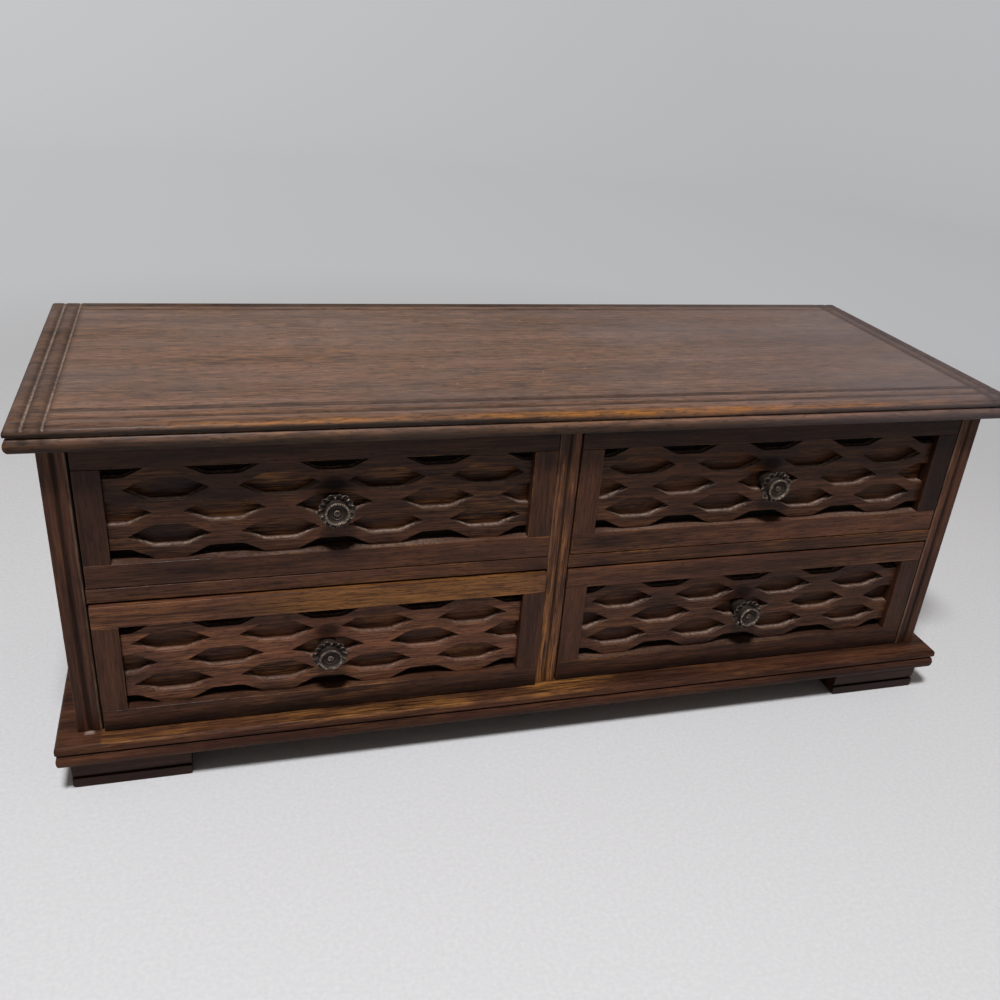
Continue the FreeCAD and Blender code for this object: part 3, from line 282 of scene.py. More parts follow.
def grainPatterns(add, stain, along):
    # noise drawn out along the grain; each board reads it from a place of its own
    place = add("TexCoord").outputs["Object"]
    shift = add("Attribute", attribute_name="grainShift").outputs["Vector"]
    axes = add("SeparateXYZ", {0: add("VectorMath", {0: place, 1: shift})}).outputs
    run = add("CombineXYZ", {i: axes[axis] for i, axis in enumerate(grainTurns[along])})
    found = {}
    for key, (length, width) in grain[stain].items():
        scale = (1 / (length * mm), 1 / (width * mm), 1 / (width * mm))
        spread = add("Mapping", {"Vector": run, "Scale": scale})
        found[key] = add("TexNoise", {"Vector": spread, "Scale": 1, "Detail": 3, "Roughness": 0.6})
    return place, found


def grainedWood(name, stain="case", along="x", rough=0.3, shine=0.13, contrast=0.3, pores=0.6,
                rub=None, dirtAndShade=None, dust=None, marked=False, worn=None):
    # the rub, darkening and dust makers say where the stain is rubbed off, where it is darkened nearly
    # black by pooled stain or by painted shade, and where dust lies; they get the node maker, the place
    # as x, y and z, and the grain patterns found there
    material, add = newMaterial(name)
    dark, body, light, golden, bare = (linear(c) for c in stains[stain])
    bare = linear(worn) if worn else bare
    place, found = grainPatterns(add, stain, along)
    where = add("SeparateXYZ", {0: place}).outputs
    base = add("ValToRGB", {"Fac": found["tone"]}, [(0.34, dark), (0.5, body), (0.66, light)])
    warmth = add("Attribute", attribute_name="warmth").outputs["Fac"]
    warmth = combined(add, "ADD", warmth, 0.2)
    streaky = mapped(add, found["fibre"], 0.4, 0.6)
    patchy = mapped(add, found["blotch"], 0.38, 0.64)
    base = blended(add, combined(add, "MULTIPLY", streaky, patchy, warmth), base, golden)
    streak = mapped(add, found["fibre"], 0.3, 0.7, 1 - contrast, 1 + contrast)
    shade = add("Attribute", attribute_name="shade").outputs["Fac"]
    streak = combined(add, "MULTIPLY", streak, shade)
    base = blended(add, 1, base, streak, blend_type="MULTIPLY")
    if rub:
        base = blended(add, rub(add, where, found), base, bare)
    pore = mapped(add, found["pore"], 0.54, 0.66)
    shadow = [c * 0.22 for c in dark[:3]] + [1]
    base = blended(add, combined(add, "MULTIPLY", pore, pores), base, shadow)
    roughness = mapped(add, found["blotch"], 0.3, 0.7, rough - 0.05, rough + 0.1)
    if dirtAndShade:
        dirtAndShadeMask = dirtAndShade(add, where, found)
        base = blended(add, dirtAndShadeMask, base, linear(wear["grime"]))
        roughness = blended(add, dirtAndShadeMask, roughness, (0.8, 0.8, 0.8, 1))
    if marked:
        base = markedTop(add, place, base)
    if dust:
        speck = add("TexNoise", {"Vector": place, "Scale": 800, "Detail": 4})
        speck = mapped(add, speck, 0.38, 0.6, 0.35)
        lying = combined(add, "MULTIPLY", dust(add, where, found), speck)
        base = blended(add, lying, base, linear(wear["dust"]))
        roughness = blended(add, lying, roughness, (0.9, 0.9, 0.9, 1))
    height = combined(add, "SUBTRACT", found["fibre"], pore)
    bump = add("Bump", {"Height": height, "Strength": 0.5, "Distance": 0.07 * mm})
    shader = add("BsdfPrincipled", {"Base Color": base, "Roughness": roughness, "Normal": bump,
                                    "IOR": 1.5, "Specular IOR Level": shine})
    add("OutputMaterial", {"Surface": shader})
    return material


def markedTop(add, place, base):
    # grey bloom in the old lacquer, stronger towards the back as painted sheen, a grey painted sheen towards
    # the right, bruises, scratches and small pale chips
    across, back = add("SeparateXYZ", {0: place}).outputs[:2]
    bloom = add("TexNoise", {"Vector": place, "Scale": 12, "Detail": 4, "Roughness": 0.6})
    bloom = mapped(add, bloom, 0.38, 0.68, 0, 0.2)
    sheenTowardsBack = mapped(add, back, -50 * mm, 70 * mm, 0.35, 1.0)
    base = blended(add, combined(add, "MULTIPLY", bloom, sheenTowardsBack), base, linear(wear["bloom"]))
    haze = mapped(add, across, 20 * mm, 170 * mm, 0, 0.34)
    base = blended(add, haze, base, linear(wear["haze"]))
    for x, y, halfLong, halfWide, turn, strength in marks:
        laid = add("Mapping", {"Vector": place, "Location": (x * mm, y * mm, topFace),
                               "Rotation": (0, 0, math.radians(turn)),
                               "Scale": (halfLong * mm, halfWide * mm, 20 * mm)}, vector_type="TEXTURE")
        far = add("VectorMath", {0: laid}, operation="LENGTH").outputs["Value"]
        mark = mapped(add, far, 0.35, 1.0, strength, 0.0)
        base = blended(add, mark, base, linear(wear["bruise"]))
    cells = add("TexVoronoi", {"Vector": place, "Scale": 110}).outputs
    chip = mapped(add, cells["Distance"], 0.02, 0.045, 0.6, 0.0)
    chosen = mapped(add, add("SeparateColor", {0: cells["Color"]}), 0.62, 0.66)
    return blended(add, combined(add, "MULTIPLY", chip, chosen), base, linear(wear["chip"]))


def topRub(add, where, found):
    # the front arris is rubbed to orange wood in a thin broken line, and right of the middle the face
    # under it too; the lower bead has a few golden dashes, and its left corner is bare
    crest = mapped(add, where[1], -70.9 * mm, -71.9 * mm)
    arris = mapped(add, where[2], 146.4 * mm, 147.2 * mm)
    line = combined(add, "MULTIPLY", crest, arris, band(add, where[0], 5, 85, 90))
    face = mapped(add, where[2], 145.2 * mm, 146.2 * mm)
    broad = combined(add, "MULTIPLY", crest, face, band(add, where[0], 40, 18, 50), 0.8)
    front = mapped(add, where[1], -67 * mm, -70 * mm)
    lower = combined(add, "MULTIPLY", band(add, where[2], 141.8, 0.2, 0.5), front, 0.32)
    dashes = mapped(add, found["blotch"], 0.4, 0.56, 0.25)
    streak = mapped(add, found["fibre"], 0.38, 0.56, 0.3)
    worn = combined(add, "MULTIPLY", combined(add, "MAXIMUM", line, broad, lower), dashes, streak, 0.9)
    corner = mapped(add, where[0], -187.8 * mm, -189.4 * mm)
    low = mapped(add, where[2], 143.5 * mm, 142.5 * mm)
    return combined(add, "MAXIMUM", worn, combined(add, "MULTIPLY", corner, front, low, 0.6))


def topStainAndShade(add, where, found):
    # stain and painted shade lie dark in the valleys between the reeds and on the reeds of both ends,
    # with painted shade rounding each end reed and darkest on the outermost reed at the right and at the
    # back; painted shade is deep on the lower half of each front bead
    out = add("Math", {0: where[0]}, operation="ABSOLUTE")
    ends = mapped(add, out, 175.5 * mm, 178.5 * mm, 0, 0.42)
    rounded = combined(add, "MAXIMUM", *[band(add, out, crest, 0.6, 1.9) for crest in reeds["endCrests"]])
    ends = combined(add, "MULTIPLY", ends, mapped(add, rounded, 0, 1, 1.5, 0.75))
    right = mapped(add, where[0], 183.5 * mm, 184.5 * mm, 0, 0.6)
    behind = mapped(add, where[1], 61.5 * mm, 62.5 * mm, 0, 0.6)
    valleys = [band(add, out, place, 0.4, 1.7) for place in reeds["end"]]
    valleys += [band(add, where[1], -place, 0.45, 1.5) for place in reeds["front"]]
    valleys += [band(add, where[1], place, 0.4, 1.4) for place in reeds["back"]]
    level = mapped(add, where[2], 146.9 * mm, 147.3 * mm)
    lines = combined(add, "MULTIPLY", combined(add, "MAXIMUM", *valleys), level, 0.56)
    upper = mapped(add, where[2], 147.2 * mm, 146 * mm, 0, 0.88)
    gap = mapped(add, where[2], 144.4 * mm, 144.8 * mm)
    front = mapped(add, where[1], -71.6 * mm, -72 * mm)
    rubbed = mapped(add, band(add, where[0], 40, 18, 60), 0, 1, 1.0, 0.35)
    upper = combined(add, "MULTIPLY", upper, gap, front, rubbed)
    lower = mapped(add, where[2], 143.7 * mm, 142.1 * mm, 0, 0.74)
    front = mapped(add, where[1], -69 * mm, -70 * mm)
    lower = combined(add, "MULTIPLY", lower, front)
    return combined(add, "MAXIMUM", ends, right, behind, lines, upper, lower)


def topDust(add, where, found):
    # a thin pale line of dust in both grooves at the left end
    lines = [band(add, where[0], -place, 0.18, 0.4) for place in reeds["end"]]
    broken = mapped(add, found["blotch"], 0.3, 0.6, 0.5)
    level = mapped(add, where[2], 146.8 * mm, 147.2 * mm)
    return combined(add, "MULTIPLY", combined(add, "MAXIMUM", *lines), broken, level, 0.6)


def sillRub(add, where, found):
    # the ledge in front of the drawers is golden where hands and cloths rub it, as far as the middle
    level = mapped(add, where[2], 21.9 * mm, 22.9 * mm)
    left = mapped(add, where[0], -174.5 * mm, -173.5 * mm)
    fading = mapped(add, where[0], 10 * mm, 50 * mm, 1.0, 0.1)
    patches = mapped(add, found["blotch"], 0.42, 0.6, 0.15)
    streak = mapped(add, found["fibre"], 0.4, 0.6)
    return combined(add, "MULTIPLY", level, left, fading, patches, streak, 0.8)


def sillPaintedShade(add, where, found):
    # painted light and shade: the ledge is a little darker than the bead under it, so that the bead reads as
    # lit
    return mapped(add, where[2], 19.2 * mm, 19.7 * mm, 0, 0.12)


def sillDust(add, where, found):
    # a little dust has gathered at the foot of the left stile
    return combined(add, "MULTIPLY", band(add, where[0], -178.3, 0.8, 1.6),
                    band(add, where[1], -65.3, 0.4, 1.2), band(add, where[2], 23.2, 0.3, 0.2), 0.6)


def edgeRub(add, where, found):
    # light dashes where an arris has lost its stain
    dashes = mapped(add, found["pore"], 0.48, 0.56)
    patches = mapped(add, found["blotch"], 0.44, 0.64)
    return combined(add, "MULTIPLY", dashes, patches, 0.55)


def panelPaintedShade(add, where, found):
    # painted shade: the panel is nearly black along the top and the foot of each window, as deep in shadow
    away = combined(add, "MINIMUM", *[apart(add, where[2], middle) for middle in windowMiddles])
    return mapped(add, away, (windowHalf - 5.4) * mm, (windowHalf - 4) * mm, 0, 0.93)


def stilePaintedShade(add, where, found):
    # painted shade: the grooves of the case's stiles, and the gaps beside them, are dark
    side = add("Math", {0: where[0]}, operation="ABSOLUTE")
    groove = combined(add, "MULTIPLY", band(add, side, stileLines["groove"], 0.3, 1.0), 0.72)
    middle = combined(add, "MULTIPLY", band(add, side, 0.0, 0.25, 0.8), 0.7)
    gap = band(add, side, stileLines["gap"], 0.35, 0.25)
    return combined(add, "MAXIMUM", groove, middle, gap)


def stileRub(add, where, found):
    # the arris beside each drawer has lost its stain in long dashes
    side = add("Math", {0: where[0]}, operation="ABSOLUTE")
    lines = combined(add, "MAXIMUM", band(add, side, stileLines["outerArris"], 0.2, 0.4),
                     band(add, side, stileLines["innerArris"], 0.2, 0.4))
    dashes = mapped(add, found["fibre"], 0.4, 0.6, 0.2)
    return combined(add, "MULTIPLY", lines, dashes, 0.5)


def fretPaintedShade(add, where, found):
    # painted shade and reflection: a dark patch above each knob, and black in the half openings under the top
    # rail
    place = add("TexCoord").outputs["Object"]
    patches = []
    for spot in knobMiddles:
        laid = add("Mapping", {"Vector": place, "Location": (spot.x, 0, spot.z + knobShadePatch["above"] * mm),
                               "Scale": (knobShadePatch["halfWide"] * mm, 10, knobShadePatch["halfHigh"] * mm)},
                   vector_type="TEXTURE")
        far = add("VectorMath", {0: laid}, operation="LENGTH").outputs["Value"]
        patches.append(mapped(add, far, 0.4, 1.0, knobShadePatch["most"], 0.0, interpolation_type="SMOOTHSTEP"))
    tops = [band(add, where[2], middle + windowHalf - 2.5, 2.4, 0.7) for middle in windowMiddles]
    walls = combined(add, "MULTIPLY", combined(add, "MAXIMUM", *tops), facingUp(add, 0.2, 0.6), 0.93)
    return combined(add, "MAXIMUM", *patches, walls)


def railPaintedShade(add, where, found):
    # painted shade and reflection: the foot of the lower rails is dark where they meet the dark base
    return mapped(add, where[2], 24.5 * mm, 30.5 * mm, 0.72, 0.0, interpolation_type="SMOOTHSTEP")


def facingUp(add, low, high):
    up = add("SeparateXYZ", {0: add("TexCoord").outputs["Normal"]}).outputs[2]
    return mapped(add, up, low, high)


def fretDust(add, where, found):
    # dust on the lower walls of the sawn openings, thickest half way in
    share = add("Attribute", attribute_name="dusty").outputs["Fac"]
    inward = add("Attribute", attribute_name="inward").outputs["Fac"]
    line = mapped(add, band(add, inward, 2.0, 0.3, 0.9), 0, 1, 0.2)
    return combined(add, "MULTIPLY", facingUp(add, 0.45, 0.85), line, share)


def railRub(add, where, found):
    # the top rail of the lower left drawer is rubbed golden over its middle
    across = combined(add, "MULTIPLY", band(add, where[0], -62, 30, 45), band(add, where[2], 73.2, 5, 0.5))
    streak = mapped(add, found["fibre"], 0.36, 0.6, 0.3)
    return combined(add, "MULTIPLY", across, streak, 0.42)


def railDust(add, where, found):
    # dust on the ledge at the foot of each window
    ledges = [band(add, where[2], middle - windowHalf, 0.25, 0.3) for middle in windowMiddles]
    patches = mapped(add, found["blotch"], 0.4, 0.6, 0.25)
    share = add("Attribute", attribute_name="dusty").outputs["Fac"]
    return combined(add, "MULTIPLY", combined(add, "MAXIMUM", *ledges), facingUp(add, 0.5, 0.9), patches,
                    share)


wood = {
    "across": grainedWood("stainedHardwoodAcross"),
    "upright": grainedWood("stainedHardwoodUpright", along="z", contrast=0.24, pores=0.5),
    "stile": grainedWood("mouldedStile", along="z", dirtAndShade=stilePaintedShade, rub=stileRub, contrast=0.3, pores=0.5,
                         worn="7d6350"),
    "deep": grainedWood("stainedHardwoodDeep", along="y"),
    "fret": grainedWood("sawnFretwork", dust=fretDust, dirtAndShade=fretPaintedShade, contrast=0.4, pores=0.75),
    "ledge": grainedWood("drawerRail", rub=railRub, dust=railDust, dirtAndShade=railPaintedShade, contrast=0.34, pores=0.7),
    "behind": grainedWood("darkDrawerPanel", dirtAndShade=panelPaintedShade, contrast=0.42),
    "top": grainedWood("rubbedTopBoard", "top", rub=topRub, dirtAndShade=topStainAndShade, dust=topDust, marked=True,
                       rough=0.38, shine=0.18, contrast=0.44, pores=0.66),
    "sill": grainedWood("wornSillBoard", rub=sillRub, dirtAndShade=sillPaintedShade, dust=sillDust, rough=0.45, shine=0.07,
                        contrast=0.34),
    "arris": grainedWood("rubbedArris", rub=edgeRub),
    "arrisUpright": grainedWood("rubbedArrisUpright", along="z", rub=edgeRub),
    "paleDeep": grainedWood("plainPineDeep", "pale", "y", rough=0.6, shine=0.3, contrast=0.1, pores=0.3),
    "paleAcross": grainedWood("plainPineAcross", "pale", "x", rough=0.6, shine=0.3, contrast=0.1, pores=0.3),
}
print("woods made")


def tuneGrain(piece, warmth, shades, dusty, axis):
    # each board is cut from its own place in the wood, and has its own warmth and shade, which is partly its
    # depth of stain and partly painted shade; in a pair of strips, the shades go to the lower or left one
    # and to the upper or right one
    corners = piece.data.vertices
    low, high = shades if isinstance(shades, tuple) else (shades, shades)
    middle = sum(corner.co[axis] for corner in corners) / len(corners)
    first = [random.uniform(0.2, 4) for _ in range(3)]
    second = [random.uniform(0.2, 4) for _ in range(3)]
    starts = (first, second if low != high else first)
    place, toneAndShade = [], []
    for corner in corners:
        upper = corner.co[axis] >= middle
        place += starts[upper]
        toneAndShade.append((low, high)[upper])
    piece.data.attributes.new("grainShift", "FLOAT_VECTOR", "POINT").data.foreach_set("vector", place)
    face = min(corner.co.y for corner in corners)
    inward = [corner.co.y - face for corner in corners]
    for name, values in (("warmth", [warmth] * len(toneAndShade)), ("shade", toneAndShade),
                         ("dusty", [dusty] * len(toneAndShade)), ("inward", inward)):
        piece.data.attributes.new(name, "FLOAT", "POINT").data.foreach_set("value", values)


def claim(piece, node):
    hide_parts(node)
    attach(piece, bodyOf[node])


def camel(node):
    words = node.split("_")
    return words[0] + "".join(word.capitalize() for word in words[1:])


def softened(node, width, looks, warmth=0.0, shades=1.0, dusty=0.0, axis=2):
    # a copy of the CAD node with its triangles merged and its arrises eased by a width in mm
    piece = bpy.data.objects.new(camel(node), nodes[node].data.copy())
    bpy.context.scene.collection.objects.link(piece)
    pick(piece)
    bpy.ops.object.mode_set(mode="EDIT")
    bpy.ops.mesh.select_all(action="SELECT")
    bpy.ops.mesh.remove_doubles(threshold=0.00001)
    bpy.ops.mesh.dissolve_limited(angle_limit=math.radians(0.4))  # flat faces made whole again
    bpy.ops.object.mode_set(mode="OBJECT")
    piece.data.materials.clear()
    for look in looks:
        piece.data.materials.append(look)
    piece.data.polygons.foreach_set("material_index", [0] * len(piece.data.polygons))
    bevel = piece.modifiers.new("eased", "BEVEL")
    bevel.width = width * mm
    bevel.segments = 2
    bevel.limit_method = "ANGLE"
    bevel.angle_limit = math.radians(32)
    bevel.material = len(looks) - 1
    applyModifiers(piece)
    bpy.ops.object.shade_smooth_by_angle(angle=math.radians(35))
    even = piece.modifiers.new("evenShading", "WEIGHTED_NORMAL")
    even.keep_sharp = True
    applyModifiers(piece)
    tuneGrain(piece, warmth, shades, dusty, axis)
    claim(piece, node)
    return piece


# Case boards: eased by about a quarter of a millimetre, as sanding and handling leave them
boards = {  # node: arris radius mm, wood, arris wood, warmth, shade
    "top_board": (0.2, "top", "top", 0.3, 1.0),
    # the base board's shade is raised and its ledge darkened again, so that its bead is painted lighter, as
    # lit
    "base_board": (0.25, "sill", "sill", 0.05, 1.16),
    "feet": (0.15, "across", "across", -0.2, 0.76),
    "left_stile": (0.2, "stile", "stile", 0.1, 1.08),
    "right_stile": (0.2, "stile", "stile", 0.1, 1.05),
    "centre_stile": (0.2, "stile", "stile", 1.1, 1.5),
    "left_rail": (0.3, "across", "arris", 0.5, 1.0),
    "right_rail": (0.3, "across", "arris", 0.3, 1.02),
    "left_side": (0.4, "upright", "arrisUpright", 0.1, 1.0),
    "right_side": (0.4, "upright", "arrisUpright", 0.1, 1.0),
    "centre_partition": (0.3, "upright", "upright", 0.1, 1.0),
    "left_shelf": (0.3, "deep", "deep", 0.1, 1.0),
    "right_shelf": (0.3, "deep", "deep", 0.1, 1.0),
    "back_panel": (0.3, "across", "arris", 0.1, 1.15),
}
for node, (width, face, arris, warmth, shade) in boards.items():
    softened(node, width, [wood[face], wood[arris]], warmth, shade)
print("case boards made")

# Drawer fronts: a frame of four strips, the fretwork board and the panel behind it. A row gives the
# frame's warmth, the shades of its rails and of its stiles, and its dust; the fretwork's warmth, shade
# and dust; and the panel's warmth and shade.
frontArris = {"rails": 0.3, "stiles": 0.25, "lattice": 0.22, "panel": 0.3}  # mm
# The shades are partly each strip's own tone and partly painted shade: the upper rails of the upper drawers
# are darker as under the top's overhang, and the right stile of the upper right drawer is darker as in shade.
fronts = {
    "upper_left": ((0.05, (1.0, 0.62), (0.66, 0.9), 0.3), (0.25, 0.78, 0.6), (0.9, 1.25)),
    "upper_right": ((0.05, (1.36, 0.56), (0.82, 0.38), 0.42), (0.2, 0.8, 0.58), (0.5, 1.1)),
    "lower_left": ((0.35, (0.9, 1.55), (0.85, 1.05), 0.06), (0.15, 1.8, 0.34), (0.6, 1.35)),
    "lower_right": ((0.1, (1.1, 1.5), (0.95, 0.7), 0.16), (0.15, 1.06, 0.54), (0.35, 1.1)),
}
for drawer, (frameLook, fretLook, panelLook) in fronts.items():
    start = "drawer_" + drawer
    warmth, rails, stiles, dusty = frameLook
    softened(start + "_rails", frontArris["rails"], [wood["ledge"], wood["arris"]], warmth, rails, dusty)
    softened(start + "_stiles", frontArris["stiles"], [wood["upright"], wood["arrisUpright"]], 0.0,
             stiles, axis=0)
    softened(start + "_lattice", frontArris["lattice"], [wood["fret"]], *fretLook)
    softened(start + "_panel", frontArris["panel"], [wood["behind"]], *panelLook)
print("drawer fronts made")

# Drawer boxes: plain pine walls and a thin plywood bottom, left unstained
boxArris = {"walls": 0.4, "bottom": 0.2}  # mm
wallThick = 5.1  # mm, a little over the real 5
for drawer in fronts:
    start = "drawer_" + drawer
    walls = softened(start + "_walls", boxArris["walls"], [wood["paleDeep"], wood["paleAcross"]], 0.1)
    low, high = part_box(start + "_walls")
    for face in walls.data.polygons:  # the back wall's grain runs across
        behind = face.center.y > high[1] - wallThick * mm
        between = low[0] + wallThick * mm < face.center.x < high[0] - wallThick * mm
        face.material_index = 1 if behind and between else 0
    softened(start + "_bottom", boxArris["bottom"], [wood["paleAcross"]], 0.3, 0.9)
print("drawer boxes made")

# Linings: short-pile velvet, glued into each drawer. The pile gives a soft sheen, and its brushed
# patches are painted brighter in the colour as a painted sheen, where the pile leans away.
lining = {
    "corner": 2.5, "thick": 0.75, "cuts": 11, "wave": 0.28, "waveLength": 17,  # mm, but for the cuts
    "pile": ("4a0a12", "64101b", "7c1a26"), "sheen": "d07a80",
}


def velvet():
    material, add = newMaterial("darkRedVelvet")
    place = add("TexCoord").outputs["Object"]
    # patches of 30 mm brushed one way, and tufts, drawn 0.7 mm across to show
    brushedSheen = add("TexNoise", {"Vector": place, "Scale": 34, "Detail": 3, "Distortion": 0.8})
    pile = add("TexNoise", {"Vector": place, "Scale": 1400, "Detail": 2})
    shades = [(at, linear(c)) for at, c in zip((0.36, 0.52, 0.66), lining["pile"])]
    base = add("ValToRGB", {"Fac": brushedSheen}, shades)
    tuft = mapped(add, pile, 0.3, 0.7, 0.7, 1.2)
    base = blended(add, 1, base, tuft, blend_type="MULTIPLY")
    bump = add("Bump", {"Height": pile, "Strength": 0.7, "Distance": 0.25 * mm})
    shader = add("BsdfPrincipled", {"Base Color": base, "Roughness": 0.95, "Normal": bump,
                                    "Specular IOR Level": 0.1, "Sheen Weight": 0.5,
                                    "Sheen Roughness": 0.4, "Sheen Tint": linear(lining["sheen"])})
    add("OutputMaterial", {"Surface": shader})
    return material


def makeLining(node, look):
    low, high = (Vector(corner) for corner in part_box(node))
    deselect()
    bpy.ops.mesh.primitive_cube_add(size=1, location=(low + high) / 2)
    piece = bpy.context.object
    piece.name = camel(node)
    piece.scale = high - low
    bpy.ops.object.transform_apply(location=True, rotation=True, scale=True)
    bpy.ops.object.mode_set(mode="EDIT")
    bpy.ops.mesh.select_all(action="DESELECT")
    tray = bmesh.from_edit_mesh(piece.data)
    for face in tray.faces:
        face.select = face.normal.z > 0.9
    bpy.ops.mesh.delete(type="FACE")
    tray = bmesh.from_edit_mesh(piece.data)
    for edge in tray.edges:
        edge.select = len(edge.link_faces) == 2
    bpy.ops.mesh.bevel(offset=lining["corner"] * mm, segments=4, affect="EDGES")
    bpy.ops.mesh.select_all(action="SELECT")
    bpy.ops.mesh.subdivide(number_cuts=lining["cuts"])
    bpy.ops.object.mode_set(mode="OBJECT")
    for corner in piece.data.vertices:  # the glued cloth stands off a little here and there
        wave = noise.noise(corner.co / (lining["waveLength"] * mm)) + 1
        corner.co -= corner.normal * wave * lining["wave"] * mm * 0.5
    thick = piece.modifiers.new("cloth", "SOLIDIFY")
    thick.thickness = lining["thick"] * mm
    thick.offset = -1
    applyModifiers(piece)
    bpy.ops.object.shade_smooth_by_angle(angle=math.radians(50))
    piece.data.materials.append(look)
    claim(piece, node)


redVelvet = velvet()
for drawer in fronts:
    makeLining(f"drawer_{drawer}_lining", redVelvet)
print("velvet linings made")


# Metals: the movement and its key are brass, ground steel and cast zinc, the screws zinc-plated steel
def workedMetal(name, colour, stain, rough, direction=None, grit=0.5, stained=0.35):
    # fine lines along one axis where a tool has passed, or an even grit where none has, and dull patches
    material, add = newMaterial(name)
    place = add("TexCoord").outputs["Object"]
    stretch = [1 / (grit * mm)] * 3
    if direction is not None:
        stretch[direction] = 1 / (25 * mm)  # lines about 25 mm long
    drawn = add("Mapping", {"Vector": place, "Scale": stretch})
    lines = add("TexNoise", {"Vector": drawn, "Scale": 1, "Detail": 3})
    patches = add("TexNoise", {"Vector": place, "Scale": 130, "Detail": 4, "Roughness": 0.65})
    dull = mapped(add, patches, 0.42, 0.7, 0, stained)
    tint = mapped(add, lines, 0.3, 0.7, 0.86, 1.1)
    base = blended(add, 1, linear(colour), tint, blend_type="MULTIPLY")
    base = blended(add, dull, base, linear(stain))
    roughness = combined(add, "ADD", combined(add, "MULTIPLY", dull, 0.6), rough)
    bump = add("Bump", {"Height": lines, "Strength": 0.4, "Distance": 0.03 * mm})
    shader = add("BsdfPrincipled", {"Base Color": base, "Metallic": 1.0, "Roughness": roughness,
                                    "Normal": bump})
    add("OutputMaterial", {"Surface": shader})
    return material


# what each one gives the eye: yellow and softly lined, bright and lined, matt and even, dull and pitted
metals = {
    "brass": workedMetal("turnedBrass", "c6a055", "7d5f2e", 0.26, direction=0, grit=0.35),
    "steel": workedMetal("groundSteel", "b3b4b6", "77736d", 0.24, direction=0, grit=0.3),
    "zinc": workedMetal("castZinc", "9d9d9c", "6f6e6b", 0.46, grit=0.6),
    "screw_steel": workedMetal("zincPlatedScrew", "a09c93", "655f55", 0.36, grit=0.4, stained=0.6),
}
eased = {"winding_key": 0.18, "bedplate": 0.25, "back_panel_screws": 0.12, "governor_frame": 0.15}  # mm
for node, thing in nodes.items():
    if slotOf[node] not in metals:
        continue
    if node in eased:
        softened(node, eased[node], [metals[slotOf[node]]])
    else:
        thing.data.materials.clear()
        thing.data.materials.append(metals[slotOf[node]])
print("movement finished")

# Knobs: cast zinc alloy with an antique pewter finish, dark in the hollows and rubbed bright on the tips
knob = {  # mm, but for the two counts and what is marked
    "petals": 14, "petalRoot": 3.8, "petalTip": 6.95, "petalHalf": 1.42, "petalThick": 0.4, "petalRim": 0.6,
    "petalLow": 2.6, "petalArch": 0.9,
    "petalWidest": 0.55, "petalNeck": 0.42,  # how far out it is widest, and how narrow its root is, as shares
    "petalCup": 0.45, "petalCurl": 0.85,  # from where to its edge the rim rises and curls over, as shares
    "rope": 4.05, "ropeThick": 0.42, "ropeLevel": 6.45,
    "ropeTwists": 34, "ropeNick": 0.14, "ropeSlant": 1.5,  # how deep and how slanted its nicks are, as shares
    "height": 7.0,  # from the drawer's face to the rim
    "turns": {"upper_left": 6, "upper_right": 17, "lower_left": -4, "lower_right": 11},  # degrees
    "pewter": ("2a221d", "4c4138", "a8998a"),
}
# its turned core from the rivet inside the drawer to the button in its dish, as (radius, height)
knobProfile = [
    (0.0, -11.6), (2.2, -11.6), (2.6, -11.3), (2.6, -10.8), (1.6, -10.8), (1.6, -6.1), (3.2, -6.1),
    (3.4, -5.9), (3.4, 0.6), (4.0, 1.4), (4.6, 1.8), (4.8, 2.3), (4.3, 2.7), (3.8, 3.4), (3.65, 4.6),
    (3.9, 6.1), (3.8, 6.4), (3.6, 6.3), (3.4, 5.8), (3.1, 5.5), (2.7, 5.45), (2.5, 5.6), (2.3, 5.4),
    (1.6, 5.3), (1.25, 5.45), (1.15, 5.75), (0.95, 5.85), (0.75, 5.75), (0.45, 5.6), (0.0, 5.6),
]


def antiquePewter():
    material, add = newMaterial("antiquePewter")
    place = add("TexCoord").outputs["Object"]
    point = add("NewGeometry").outputs["Pointiness"]
    grime = add("TexNoise", {"Vector": place, "Scale": 900, "Detail": 4})
    raised = mapped(add, point, 0.49, 0.58)
    loose = mapped(add, grime, 0.35, 0.65, 0.35, 1.2)
    worn = combined(add, "MULTIPLY", raised, loose)
    shades = [(at, linear(c)) for at, c in zip((0.0, 0.4, 1.0), knob["pewter"])]
    colour = add("ValToRGB", {"Fac": worn}, shades)
    roughness = mapped(add, worn, 0, 1, 0.7, 0.36)
    metal = mapped(add, worn, 0, 1, 0.35, 0.95)
    bump = add("Bump", {"Height": grime, "Strength": 0.5, "Distance": 0.08 * mm})
    shader = add("BsdfPrincipled", {"Base Color": colour, "Metallic": metal, "Roughness": roughness,
                                    "Normal": bump, "Specular IOR Level": 0.3})
    add("OutputMaterial", {"Surface": shader})
    return material


